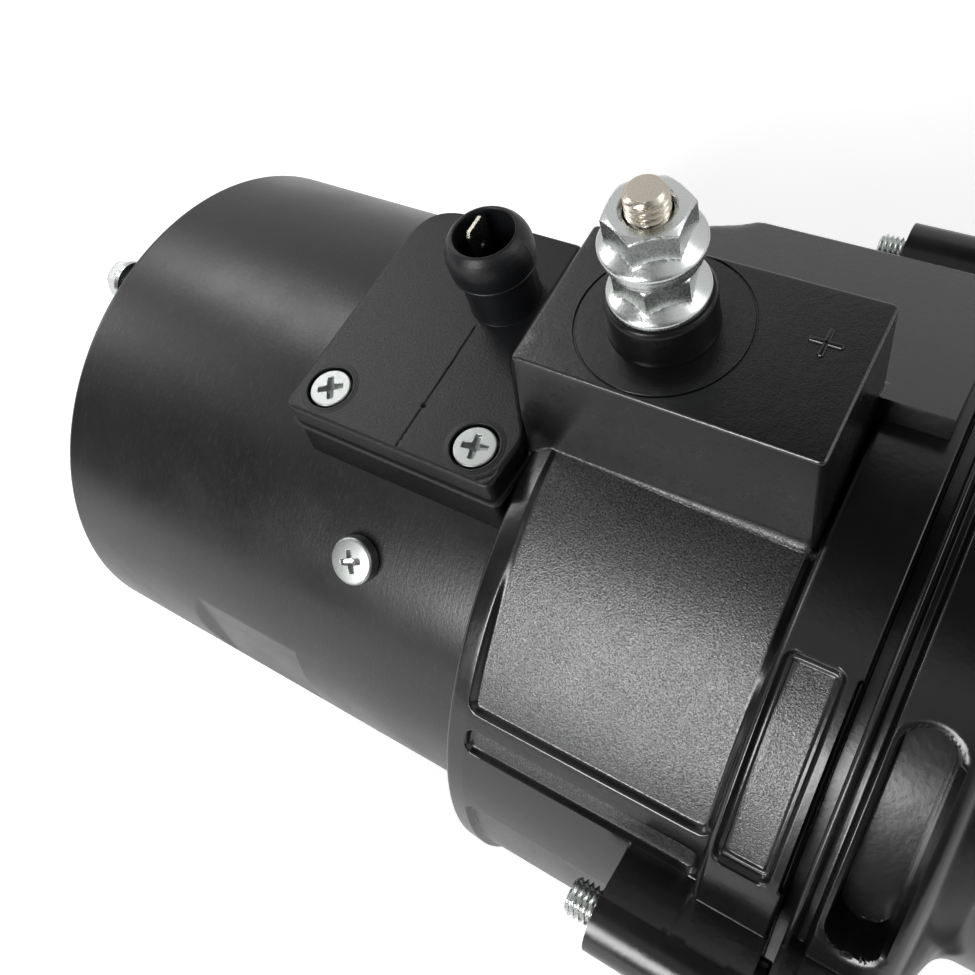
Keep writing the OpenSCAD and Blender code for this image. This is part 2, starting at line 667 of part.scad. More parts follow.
module output_bush() color("#b08d4f") from_housing() tube_x(43.8, 69.5, 13, output_r + run_gap);

module solenoid_frame() color("#77797c") from_housing() difference() {
    turned_x([[31.6, 45.25], [frame_r, 45.25], [frame_r, frame_x1], [62, frame_x1], [62, 49], [31.6, 49]]);
    translate([0, lead_y, lead_coil_z]) rod_x(40, 50, lead_r + 0.2);
}

module solenoid_coil() color("#a5622f") from_housing()
    turned_x([[32, 49.1], [61.5, 49.1], [61.5, 50.6], [59.5, 51], [59.5, 70], [61.5, 70.4],
        [61.5, core_x0 - 0.1], [32, core_x0 - 0.1]]);

module pole_core() color("#7f8185") from_housing()
    turned_x([[20.2, core_x0], [62 - seat_gap, core_x0], [62 - seat_gap, frame_x1], [20.2, frame_x1]]);

module plunger() color("#a0a3a6") from_housing()
    turned_x([[sleeve_r + run_gap, 46], [31, 46], [31, 57], [19.5, 57], [19.5, hub_x0 - 0.4],
        [sleeve_r + run_gap, hub_x0 - 0.4]]);

// ---------- drive end ----------

module flange_lug(a) at_angle(a) {
    translate([0, 0, flange_pcd / 2]) rod_x(lug_x0, face_x, lug_r);
    outline_x(lug_x0, face_x, [[0.2 - lug_r, flange_pcd / 2 + 2], [lug_r - 0.2, flange_pcd / 2 + 2],
        [34, 42], [-34, 42]]);
}

// Arched drainage slot through the wall of the drive housing
module drive_slot(a) {
    sector_x(slot_x0, slot_x1, 76, 99, a - slot_half, a + slot_half);
    for (side = [-slot_half, slot_half]) at_angle(a + side, 76)
        translate([(slot_x0 + slot_x1) / 2, 0, 0]) cylinder(h = 30, r = (slot_x1 - slot_x0) / 2 + 0.15);
}

module drive_housing() color("#161617") from_housing() difference() {
    union() {
        turned_x([[0, frame_x1 + 0.05], [spigot_r, frame_x1 + 0.05], [spigot_r, boss_front],
            [band_r - 0.3, boss_front], [band_r + 0.3, 79.3], [band_r + 0.3, 79.8], [88.6, 80.6],
            [88.6, 82.4], [band_r - 0.5, 83], [band_r - 0.5, 96], [88, 98.5], [neck_r + 4, 106],
            [neck_r, 110], [neck_r, face_x], [pilot_d / 2, face_x], [pilot_d / 2, 146.4],
            [pilot_d / 2 - 0.6, 147], [nose_r + 3, 147], [nose_r, 149], [nose_r, nose_x1], [0, nose_x1]]);
        for (a = flange_angles) flange_lug(a);
        for (a = boss_angles) at_angle(a) {
            translate([0, 0, boss_circle_r]) rod_x(boss_front, 92, 9);
            translate([boss_front + 4, -9, 80]) cube([92 - boss_front - 4, 18, boss_circle_r - 80]);
        }
    }
    // bore, with the clamp ring that holds the solenoid
    turned_x([[0, 60], [spigot_r + 0.05, 60], [spigot_r + 0.05, 92], [80, 94], [68, 98.5],
        [66.5, frame_x1 - 1], [62, frame_x1 - 1], [62, 82], [50, 82], [50, front_wall_x0],
        [20 + seat_gap, front_wall_x0], [20 + seat_gap, 150.4], [24.3, 150.4], [24.3, 160], [0, 160]]);
    for (a = boss_angles) at_angle(a, boss_circle_r) rod_x(70, 110, clamp_bolt_r + seat_gap);
    for (a = flange_angles) at_angle(a, flange_pcd / 2) rod_x(100, 150, flange_hole_d / 2);
    for (a = slot_angles) drive_slot(a);
}

module housing_bolts() color("#c9ccce") from_housing()
    for (a = boss_angles) at_angle(a, boss_circle_r) {
        rod_x(39.5, 93, clamp_bolt_r);
        rod_x(92 + seat_gap, 93.6, 7.4);
        hex_x(93.5, 100, nut_af);
    }

module nose_bush() color("#b08d4f") from_housing() tube_x(front_wall_x0, 150.2, 20, shaft_front_r + run_gap);

module shaft_seal() color("#101010") from_housing() difference() {
    tube_x(150.5, nose_x1 - 0.3, 24.27, shaft_front_r + 0.1);
    tube_x(151.8, nose_x1 + 1, 22.6, 19);
}

module clutch_body() color("#85888c") from_housing() difference() {
    turned_x([[10.1, hub_x0], [19.5, hub_x0], [19.5, 95], [drum_r, drum_x0], [drum_r, drum_x1],
        [race_r + 2 * roller_r + 0.06, drum_x1], [race_r + 2 * roller_r + 0.06, drum_x0 + 3],
        [17.8, drum_x0 + 3], [17.8, 93], [10.1, 93]]);
    spline_x(hub_x0 - 1, 94, 12.1, 4);
}

module clutch_rollers() color("#b9bcc0") from_housing()
    for (k = [0 : 5]) at_angle(k * 60 + 30, race_r + roller_r + 0.03) rod_x(102, 114.5, roller_r);

module return_spring() color("#b8bbbe") from_housing() tube_x(93.1, 113.95, 15.6, 12.6);

module pinion_shaft() color("#a4a7aa") from_housing() {
    turned_x([[17.9, 101], [race_r, 101], [race_r, drum_x1 + 0.6], [shaft_front_r, 120.5],
        [shaft_front_r, pinion_x0 - seat_gap], [10.5, pinion_x0 - seat_gap], [10.5, 188], [9.5, 189], [0, 189],
        [0, 118.5], [17.9, 118.5]]);
}

module drive_pinion() color("#8b8e92") from_housing() difference() {
    gear_x(pinion_x0, pinion_x1, pinion_module, pinion_teeth, 0, tooth_play, 1, 1.2);
    rod_x(pinion_x0 - 1, pinion_x1 + 1, 10.5 + seat_gap);
}

module pinion_nut() color("#a9acaf") from_housing() difference() {
    union() {
        rod_x(pinion_x1 + seat_gap, pinion_x1 + 1.6, 14.5);
        hex_x(pinion_x1 + 1.5, 187.4, 24);
    }
    rod_x(pinion_x1 - 1, 190, 10.5 + seat_gap);
}

yoke();
field_magnets();
magnet_clips();
rear_cover();
rear_seal();
through_bolts();
rear_bearing_outer();
rear_bearing_inner();
armature_shaft();
armature_core();
armature_winding();
commutator();
commutator_hub();
brush_plate();
brush_boxes();
brushes();
brush_springs();
terminal_base();
cover_gasket();
terminal_cover();
cover_screws();
blade_terminal();
control_lead();
earth_screw();
centre_housing();
battery_stud();
insulator_bush();
inner_insulator();
lower_nut();
stud_washers();
upper_nut();
motor_contact();
motor_lead();
contact_bridge();
contact_spring();
relay_coil();
bearing_plate();
front_bush();
ring_gear();
planet_gear_1();
planet_gear_2();
planet_gear_3();
planet_pins();
output_shaft();
guide_sleeve();
output_bush();
solenoid_frame();
solenoid_coil();
pole_core();
plunger();
drive_housing();
housing_bolts();
nose_bush();
shaft_seal();
clutch_body();
clutch_rollers();
return_spring();
pinion_shaft();
drive_pinion();
pinion_nut();
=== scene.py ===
import json
import math
import bpy
import numpy as np
from mathutils import Matrix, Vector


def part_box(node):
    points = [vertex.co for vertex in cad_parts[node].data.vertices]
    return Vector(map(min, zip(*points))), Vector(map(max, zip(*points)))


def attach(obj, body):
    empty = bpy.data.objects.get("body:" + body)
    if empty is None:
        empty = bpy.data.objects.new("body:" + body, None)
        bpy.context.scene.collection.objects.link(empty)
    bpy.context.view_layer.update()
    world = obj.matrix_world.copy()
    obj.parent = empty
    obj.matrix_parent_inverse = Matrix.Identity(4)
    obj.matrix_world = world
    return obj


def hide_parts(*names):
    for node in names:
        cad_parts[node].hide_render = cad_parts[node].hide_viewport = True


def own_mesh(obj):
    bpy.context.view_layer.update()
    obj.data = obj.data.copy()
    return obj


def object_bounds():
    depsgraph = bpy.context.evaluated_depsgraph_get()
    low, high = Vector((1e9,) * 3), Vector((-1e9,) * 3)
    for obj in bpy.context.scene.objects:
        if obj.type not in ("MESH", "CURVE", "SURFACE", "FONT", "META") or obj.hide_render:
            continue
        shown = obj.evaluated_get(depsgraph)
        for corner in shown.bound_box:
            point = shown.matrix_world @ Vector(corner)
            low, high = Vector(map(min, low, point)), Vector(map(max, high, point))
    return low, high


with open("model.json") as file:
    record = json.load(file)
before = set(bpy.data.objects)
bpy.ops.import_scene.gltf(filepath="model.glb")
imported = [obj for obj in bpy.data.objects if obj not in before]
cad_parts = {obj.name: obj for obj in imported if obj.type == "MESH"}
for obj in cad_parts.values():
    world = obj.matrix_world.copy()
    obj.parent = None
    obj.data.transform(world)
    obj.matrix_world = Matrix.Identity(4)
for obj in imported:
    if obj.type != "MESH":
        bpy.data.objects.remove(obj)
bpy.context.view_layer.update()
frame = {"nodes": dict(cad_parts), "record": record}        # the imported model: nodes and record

mm = 0.001
farAway = 999.0   # no limit, in mm
spigot = 6        # how far the yoke's front end goes into the cast housing
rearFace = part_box("yoke")[1].x / mm - spigot   # where the cast housing starts
studX = (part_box("upper_nut")[0].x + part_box("upper_nut")[1].x) / 2 / mm - rearFace
quarter = np.radians([18, 36, 54, 72, 90])     # steps over a rounded edge
print("frame loaded, cast housing starts at", round(rearFace, 3), "mm")


class Settings(dict):
    # a dictionary whose values are also read as attributes
    __getattr__ = dict.__getitem__


def ease(t):
    # smooth step: 0 below 0, 1 above 1, and three t squared less two t cubed between
    t = np.clip(t, 0, 1)
    return t * t * (3 - 2 * t)


def inside(distance, width):
    # 1 inside an edge and 0 outside it, easing over the given width; distance is negative inside
    return ease(0.5 - distance / width)


def rectDistance(u, v, halfU, halfV, corner):
    # signed distance to a rectangle with round corners: the shrunken box's distance less the corner radius
    qu, qv = np.abs(u) - halfU + corner, np.abs(v) - halfV + corner
    return np.hypot(np.maximum(qu, 0), np.maximum(qv, 0)) + np.minimum(np.maximum(qu, qv), 0) - corner


def turn(angle, centre):
    # signed difference of two angles in degrees, between -180 and 180
    return (angle - centre + 180) % 360 - 180


def soften(points, cut, steps=4, closed=True):
    # a corner becomes the parabola (1-t)^2 A + 2t(1-t) P + t^2 B, where A and B lie on its sides, cut away from P
    p = np.asarray(points, float)
    before, after = np.roll(p, 1, 0) - p, np.roll(p, -1, 0) - p
    lengthA, lengthB = (np.maximum(np.linalg.norm(d, axis=1), 1e-9) for d in (before, after))
    cut = np.broadcast_to(np.asarray(cut, float), len(p))
    a = p + before * (np.minimum(cut, 0.45 * lengthA) / lengthA)[:, None]
    b = p + after * (np.minimum(cut, 0.45 * lengthB) / lengthB)[:, None]
    t = np.linspace(0, 1, steps + 1)[None, :, None]
    q = (1 - t) ** 2 * a[:, None] + 2 * t * (1 - t) * p[:, None] + t ** 2 * b[:, None]
    if closed:
        return q.reshape(-1, 2)
    return np.vstack([p[:1], q[1:-1].reshape(-1, 2), p[-1:]])


def reachAround(outline, angle, parts):
    # distance from the origin to a closed outline at each angle, with every side cut into equal parts
    p = np.asarray(outline, float)
    steps = np.linspace(0, 1, parts, endpoint=False)[:, None, None]
    line = (p + (np.roll(p, -1, 0) - p) * steps).transpose(1, 0, 2).reshape(-1, 2)
    way = np.degrees(np.arctan2(line[:, 1], line[:, 0])) % 360
    return np.interp(angle % 360, way, np.hypot(line[:, 0], line[:, 1]), period=360)


def around(x, r, angle):
    # point on the circle of radius r about the shaft at x; the angle runs from +Z towards -Y
    a = np.radians(angle)
    return np.stack(np.broadcast_arrays(x, -r * np.sin(a), r * np.cos(a)), -1)


def upright(r, z, angle, centre=(0, 0)):
    # point on the circle of radius r about a vertical line at height z
    a = np.radians(angle)
    return np.stack(np.broadcast_arrays(centre[0] + r * np.cos(a), centre[1] + r * np.sin(a), z), -1)


def carried(profile, angle, centre=(0, 0)):
    # one row for each (radius, z) of a profile, carried round a vertical line
    p = np.asarray(profile, float)
    return upright(p[:, :1], p[:, 1:], angle, centre)


def rolled(points, angle, shift=(0, 0, 0)):
    # turns points about the shaft from +Z towards -Y after moving them by shift
    p, a = points + np.asarray(shift, float), math.radians(angle)
    y, z = p[..., 1], p[..., 2]
    return np.stack([p[..., 0], y * math.cos(a) - z * math.sin(a), y * math.sin(a) + z * math.cos(a)], -1)


def spun(points, degrees):
    # turns points about their own upright line
    c, s = math.cos(math.radians(degrees)), math.sin(math.radians(degrees))
    return points @ np.array([[c, s, 0], [-s, c, 0], [0, 0, 1]])


def tipped(points):
    # lays an upright piece along the shaft: its z becomes x
    return np.stack([points[..., 2], -points[..., 1], points[..., 0]], -1)


def shell(rows, loop=False, value=None):
    # four-sided faces between neighbouring rows; loop joins the last row to the first, and otherwise
    # each end row is closed by a fan to its mean point. The sign of the volume decides which way faces look.
    rows = np.asarray(rows, float)
    n, m = rows.shape[:2]
    index = np.arange(n * m).reshape(n, m)
    ring = np.vstack([index, index[:1]]) if loop else index
    ring = np.hstack([ring, ring[:, :1]])
    quads = np.stack([ring[:-1, :-1], ring[:-1, 1:], ring[1:, 1:], ring[1:, :-1]], -1).reshape(-1, 4)
    points = rows.reshape(-1, 3)
    value = np.zeros(len(points)) if value is None else np.asarray(value, float).reshape(-1)
    fans = np.zeros((0, 3), int)
    if not loop:
        points = np.vstack([points, rows[0].mean(0), rows[-1].mean(0)])
        value = np.append(value, [value[0], value[-1]])
        first, last = ring[0], ring[-1]
        start = np.stack([np.full(len(first) - 1, n * m), first[1:], first[:-1]], -1)
        end = np.stack([np.full(len(last) - 1, n * m + 1), last[:-1], last[1:]], -1)
        fans = np.vstack([start, end])
    tris = np.vstack([quads[:, [0, 1, 2]], quads[:, [0, 2, 3]], fans])
    a, b, c = (points[tris[:, k]] for k in range(3))
    if np.einsum("ij,ij->i", a, np.cross(b, c)).sum() < 0:
        quads, fans = quads[:, ::-1], fans[:, ::-1]
    return points, quads, fans, value


def moved(part, change):
    # the same shell with its points changed by a function
    return change(part[0]), part[1], part[2], part[3]


def addObject(name, data):
    # a new object in the scene
    thing = bpy.data.objects.new(name, data)
    bpy.context.scene.collection.objects.link(thing)
    return thing


def piece(name, shells, slot, replaces, sharp=38, body="motor", finish=None):
    # one object from several closed shells, in metres in the frame; value becomes the attribute "sand".
    # Each corner's normal is the mean of its faces' normals weighted by their areas, so flats stay flat.
    points, faces, values, start = [], [], [], 0
    for p, quads, fans, value in shells:
        points.append(p)
        values.append(value)
        faces += (quads + start).tolist() + (fans + start).tolist()
        start += len(p)
    places = (np.vstack(points) + [rearFace, 0, 0]) * mm
    mesh = bpy.data.meshes.new(name)
    mesh.from_pydata(places.tolist(), [], faces)
    mesh.attributes.new("sand", "FLOAT", "POINT").data.foreach_set("value", np.concatenate(values))
    mesh.polygons.foreach_set("use_smooth", np.ones(len(faces), bool))
    mesh.set_sharp_from_angle(angle=math.radians(sharp))
    mesh.validate()
    thing = addObject(name, mesh)
    mesh.materials.append(finishes[finish or slot])
    thing.modifiers.new("evenShading", "WEIGHTED_NORMAL").keep_sharp = True
    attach(thing, body)
    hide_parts(*replaces)
    return thing


def spindle(profile, centre, count=96):
    # a closed profile of (radius, z) points carried round a vertical line
    return shell(carried(profile, np.arange(count) * 360 / count, centre), True)


def roundCorners(count):
    # angles round the four corners of a box, and which way each corner lies
    turns = np.linspace(0, 90, count)
    sides = np.repeat([[1, -1, -1, 1], [1, 1, -1, -1]], count, 1)
    return np.radians(np.add.outer([0, 90, 180, 270], turns)).ravel(), *sides


def block(low, high, edge):
    # a box with round edges: stacked round-cornered rectangles, drawn in at both ends by 1 - cos and 1 - sin
    low, high = np.asarray(low, float), np.asarray(high, float)
    middle, half = (low + high) / 2, (high - low) / 2
    edge = min(edge, 0.9 * half.min())
    turns = np.radians(np.linspace(0, 90, 5))
    drop = np.concatenate([1 - np.sin(turns), 1 - np.sin(turns[::-1])]) * edge
    height = np.concatenate([-half[2] + (1 - np.cos(turns)) * edge, half[2] - (1 - np.cos(turns[::-1])) * edge])
    corner, sx, sy = roundCorners(5)
    x = sx * (half[0] - edge) + np.cos(corner) * (edge - drop[:, None])
    y = sy * (half[1] - edge) + np.sin(corner) * (edge - drop[:, None])
    z = np.broadcast_to(height[:, None], x.shape)
    return shell(np.stack([x, y, z], -1) + middle)


def colour(text):
    # sRGB hex to linear: below 0.04045 a twelfth, above it the 2.4 power
    c = np.array([int(text[k:k + 2], 16) for k in (1, 3, 5)]) / 255
    linear = np.where(c <= 0.04045, c / 12.92, ((c + 0.055) / 1.055) ** 2.4)
    return (*[float(v) for v in linear], 1.0)


def join(tree, node, links):
    # joins each socket to the node's input of that name or number
    for key, socket in links.items():
        tree.links.new(socket, node.inputs[key])


def addNode(tree, kind, settings, links={}):
    # adds a node; lower-case settings are its properties, the rest its sockets, and links join sockets to it.
    # A Mix node's sockets go by number: 0 is the factor, 2 and 3 are its two numbers, 6 and 7 its two colours
    made = tree.nodes.new("ShaderNode" + kind)
    for key, value in settings.items():
        if isinstance(key, str) and key[0].islower():
            setattr(made, key, value)
        else:
            made.inputs[key].default_value = value
    join(tree, made, links)
    return made


def startFinish(name, settings):
    # a new material with its shader's constant sockets set; returns material, tree, shader and place
    material = bpy.data.materials.new(name)
    material.use_nodes = True
    tree = material.node_tree
    shader = tree.nodes["Principled BSDF"]
    for key, value in settings.items():
        shader.inputs[key].default_value = value
    return material, tree, shader, addNode(tree, "TexCoord", {}).outputs["Object"]


def turnedEnamel():
    # black enamel sprayed on a turned steel tube: satin, with the lathe's fine rings and a short-lined speckle
    material, tree, shader, place = startFinish("turnedBlackEnamel", {"IOR": 1.5})
    along, arc = (addNode(tree, "Mapping", {"Scale": (1, s, s)}, {"Vector": place}).outputs[0] for s in (0.03, 0.2))
    rings, marks, peel, cloud = (   # grain size in mm, detail, roughness and the direction it is drawn out in
        addNode(tree, "TexNoise", {"Scale": 1 / (size * mm), "Detail": detail, "Roughness": rough},
                {"Vector": way}).outputs["Fac"]
        for size, detail, rough, way in ((0.7, 4.0, 0.6, along), (0.5, 3.0, 0.65, arc), (0.9, 3.0, 0.6, place),
                                         (26, 4.0, 0.6, place)))
    speckle = addNode(tree, "MapRange", {"From Min": 0.54, "From Max": 0.72}, {"Value": marks})
    tint = addNode(tree, "Mix", {"data_type": "RGBA", 6: colour("#0d0d0e"), 7: colour("#141415")}, {0: cloud})
    # lighter short flecks where the speckle is high
    flecked = addNode(tree, "Mix", {"data_type": "RGBA", 7: colour("#262628")},
                     {0: speckle.outputs[0], 6: tint.outputs[2]})
    gloss = addNode(tree, "MapRange", {"From Min": 0.3, "From Max": 0.7, "To Min": 0.27, "To Max": 0.37},
                    {"Value": cloud})
    relief = {}
    for height, depth in ((rings, 0.014), (peel, 0.03), (marks, 0.02)):   # depth in mm
        bump = addNode(tree, "Bump", {"Distance": depth * mm}, {"Height": height, **relief})
        relief = {"Normal": bump.outputs[0]}
    join(tree, shader, {"Base Color": flecked.outputs[2], "Roughness": gloss.outputs[0], **relief})
    return material


def castEnamel():
    # black enamel on a sand casting: glossy on the smooth rims, dull and finely pebbled where the mould's sand shows,
    # with painted glints: the sand grains' crests are lighter in colour
    material, tree, shader, place = startFinish("castBlackEnamel", {"IOR": 1.57})
    sand = addNode(tree, "Attribute", {"attribute_name": "sand"}).outputs["Fac"]
    grains, lumps, peel, cloud = (   # grain size in mm, detail and roughness
        addNode(tree, "TexNoise", {"Scale": 1 / (size * mm), "Detail": detail, "Roughness": rough},
                {"Vector": place}).outputs["Fac"]
        for size, detail, rough in ((0.36, 2.0, 0.6), (2.6, 3.0, 0.5), (1.0, 3.0, 0.5), (22, 4.0, 0.6)))
    masked = addNode(tree, "Math", {"operation": "MULTIPLY"}, {0: grains, 1: sand}).outputs[0]
    # painted highlight: the crests of the sand's grains get a lighter colour below, standing in for glints on them
    crest = addNode(tree, "MapRange", {"From Min": 0.48, "From Max": 0.64}, {"Value": masked})
    tint = addNode(tree, "Mix", {"data_type": "RGBA", 6: colour("#080809"), 7: colour("#0f0f10")}, {0: cloud})
    paintedGlintTint = addNode(tree, "Mix", {"data_type": "RGBA", 7: colour("#1d1d1e")}, {0: crest.outputs[0], 6: tint.outputs[2]})
    skin = addNode(tree, "MapRange", {"From Min": 0.3, "From Max": 0.7, "To Min": 0.2, "To Max": 0.3}, {"Value": cloud})
    gloss = addNode(tree, "Math", {"operation": "MULTIPLY_ADD", 1: 0.09}, {0: sand, 2: skin.outputs[0]})
    shine = addNode(tree, "MapRange", {"From Min": 0.32, "From Max": 0.68, "To Min": -0.12, "To Max": 0.62},
                    {"Value": grains})
    glint = addNode(tree, "Math", {"operation": "MULTIPLY_ADD", 2: 0.5}, {0: shine.outputs[0], 1: sand})
    relief = {}
    for height, depth in ((peel, 0.02), (lumps, 0.03), (masked, 0.11)):   # depth in mm
        bump = addNode(tree, "Bump", {"Distance": depth * mm}, {"Height": height, **relief})
        relief = {"Normal": bump.outputs[0]}
    join(tree, shader, {"Base Color": paintedGlintTint.outputs[2], "Roughness": gloss.outputs[0],
                        "Specular IOR Level": glint.outputs[0], **relief})
    return material


def plainFinish(name, low, high, settings, grain, depth, gloss, stretch=(1, 1, 1), patch=12):
    # two tints in patches of patch mm, a grain of grain mm and depth mm, and gloss that follows the grain
    material, tree, shader, place = startFinish(name, settings)
    drawn = addNode(tree, "Mapping", {"Scale": stretch}, {"Vector": place}).outputs[0]
    cloud = addNode(tree, "TexNoise", {"Scale": 1 / (patch * mm), "Detail": 3.0}, {"Vector": place}).outputs["Fac"]
    fine = addNode(tree, "TexNoise", {"Scale": 1 / (grain * mm), "Detail": 3.0, "Roughness": 0.55},
                   {"Vector": drawn}).outputs["Fac"]
    tint = addNode(tree, "Mix", {"data_type": "RGBA", 6: colour(low), 7: colour(high)}, {0: cloud})
    sheen = addNode(tree, "MapRange", {"From Min": 0.3, "From Max": 0.7, "To Min": gloss[0], "To Max": gloss[1]},
                    {"Value": fine})
    relief = addNode(tree, "Bump", {"Distance": depth * mm}, {"Height": fine})
    join(tree, shader, {"Base Color": tint.outputs[2], "Roughness": sheen.outputs[0], "Normal": relief.outputs[0]})
    return material


resin = {"IOR": 1.5}
plastic = {"IOR": 1.5, "Specular IOR Level": 0.45}
metal = {"Metallic": 1.0}
roundShaft = (1, 0.02, 0.02)   # grain drawn out round the shaft
plainFinishes = {   # after the slot: name, two tints, shader constants, grain, its depth, gloss from and to
    # glass-filled polyester: bluish charcoal with a fine even grain and a dull skin
    "cover_plastic": ("mouldedPolyester", "#0e0f11", "#141518", {**resin, "Specular IOR Level": 0.36},
                      0.5, 0.05, (0.34, 0.48), (1, 1, 1), 3),
    # the same resin for the base, blacker, so that it hardly shows the room
    "base_plastic": ("mouldedBase", "#070708", "#0b0b0c", {**resin, "Specular IOR Level": 0.15},
                     0.6, 0.04, (0.4, 0.55)),
    "seal_rubber": ("nitrileRubber", "#0d0d0e", "#151516", resin, 0.7, 0.04, (0.5, 0.65)),
    # phenolic: deep black, smooth, soft sheen
    "insulator_plastic": ("mouldedPhenolic", "#080809", "#0f0f10", {**resin, "Specular IOR Level": 0.25},
                          0.8, 0.012, (0.26, 0.36)),
    # zinc plating: near white, slightly blue, fine tumbling marks
    "zinc_steel": ("brightZinc", "#c6cac8", "#d8dbd9", metal, 0.45, 0.007, (0.22, 0.3)),
    # zinc with a clear passivation on small pressed screws: dull and even, no mirror, its colour also painted darker
    # than the bright zinc as shade against the lamps' highlight on the heads
    "screw_zinc": ("passivatedShadedZinc", "#9a9d9b", "#a9acaa", metal, 0.5, 0.01, (0.36, 0.44)),
    # nickel plating on a rolled thread: warmer and softer than the zinc
    "stud_nickel": ("satinNickel", "#d6cfc3", "#c2baab", metal, 0.35, 0.014, (0.2, 0.32)),
    "tinned_brass": ("tinnedBrass", "#d9d6ca", "#c4bfae", metal, 0.5, 0.01, (0.2, 0.34)),
    "lead_insulation": ("extrudedSilicone", "#5c0f0c", "#6e1512", plastic, 0.5, 0.01, (0.4, 0.5)),
    "machined_steel": ("turnedSteel", "#8d8f92", "#9da0a3", metal, 0.7, 0.014, (0.24, 0.36), roundShaft),
    # case-hardened: darker, with the straw and grey of the heat
    "gear_steel": ("hardenedSteel", "#6c6e72", "#85827c", metal, 0.6, 0.012, (0.26, 0.4)),
    "bearing_steel": ("groundSteel", "#b5b7ba", "#c4c6c9", metal, 1.2, 0.004, (0.1, 0.18), roundShaft),
    "spring_steel": ("drawnWire", "#9a9ca0", "#aaacaf", metal, 0.5, 0.008, (0.22, 0.34)),
    "ferrite": ("groundFerrite", "#2a2a2c", "#333336", plastic, 0.6, 0.02, (0.5, 0.65)),
    # laminations half a millimetre thick: thin bands across the shaft
    "core_steel": ("laminatedSteel", "#4a4b4e", "#5b5c60", metal, 0.5, 0.05, (0.35, 0.5), (1, 0.01, 0.01)),
    "copper": ("drawnCopper", "#b5683f", "#a2572f", metal, 0.8, 0.012, (0.25, 0.4)),
    "brass_sheet": ("stampedBrass", "#b89a4e", "#a68940", metal, 0.8, 0.01, (0.24, 0.36)),
    "bush_bronze": ("sinteredBronze", "#94713c", "#7f6032", metal, 0.35, 0.03, (0.35, 0.5), (1, 1, 1), 6),
    "carbon": ("pressedCarbon", "#1c1c1e", "#262628", plastic, 0.3, 0.03, (0.45, 0.6)),
    # enamelled wire under varnish: brown, ridged turn by turn
    "coil_wire": ("varnishedWire", "#5a2a12", "#6e3718", plastic, 1.0, 0.08, (0.22, 0.34), roundShaft),
}
finishes = {slot: plainFinish(*values) for slot, values in plainFinishes.items()}
finishes.update(yoke_paint=turnedEnamel(), cast_paint=castEnamel())
slotOf = {p["node"]: p["material_slot"] for p in frame["record"]["subparts"]}
for name, thing in frame["nodes"].items():
    thing.data.materials.clear()
    thing.data.materials.append(finishes[slotOf[name]])
print("finishes made")


def spans(rows):
    # places along a piece, from (from, to, count) stretches that lie close together where its edges are
    return np.concatenate([np.linspace(*row) for row in rows])


yoke = Settings(
    radius=76.8, wall=5, rear=-140.9, front=spigot, rearRound=1.6, bevel=0.4,
    # the milled flat's direction, distance from the shaft, sloped rear end, front end and half width
    flatAngle=81, flatHeight=75.1, flatRear=-99, slopeEnd=-92, flatFront=-56, flatHalf=20,
    rise=0.4, stepUp=4)   # the cut's height over the tube at its rear end, and its step up at its front end


def makeYoke():
    # outer radius is the smaller of the tube's and the flat's distance divided by the cosine from its middle
    k = yoke
    angle = np.arange(720) * 0.5
    rear, front, r, ri, bevel = k.rear, k.front, k.radius, k.radius - k.wall, k.bevel
    bend = np.radians(np.linspace(90, 0, 7))
    xs = np.append(rear + k.rearRound * (1 - np.sin(bend)),
                   spans([(rear + 2, k.flatRear - 1, 12), (k.flatRear, k.slopeEnd, 9),
                          (k.slopeEnd + 1, k.flatFront - 1, 12), (k.flatFront - 0.5, k.flatFront + 0.5, 5),
                          (k.flatFront + 2, front, 20)]))
    drop = np.zeros_like(xs)
    drop[:len(bend)] = k.rearRound * (1 - np.cos(bend))
    off = np.radians(turn(angle, k.flatAngle))
    height = np.interp(xs, [k.flatRear, k.slopeEnd], [r + k.rise, k.flatHeight])
    height = height + k.stepUp * ease(xs - k.flatFront + 0.5)
    cut = height[:, None] / np.maximum(np.cos(off), 0.2)[None, :]
    outer = np.minimum((r - drop)[:, None], np.where(np.abs(np.sin(off)) * r < k.flatHalf, cut, farAway))
    inner = np.array([[front, ri + bevel], [front - bevel, ri], [rear + bevel, ri], [rear, ri + bevel]])
    rows = [around(xs[:, None], outer, angle), around(inner[:, :1], inner[:, 1:], angle)]
    piece("yokeTube", [shell(np.vstack(rows), True)], "yoke_paint", ["yoke"], 30)


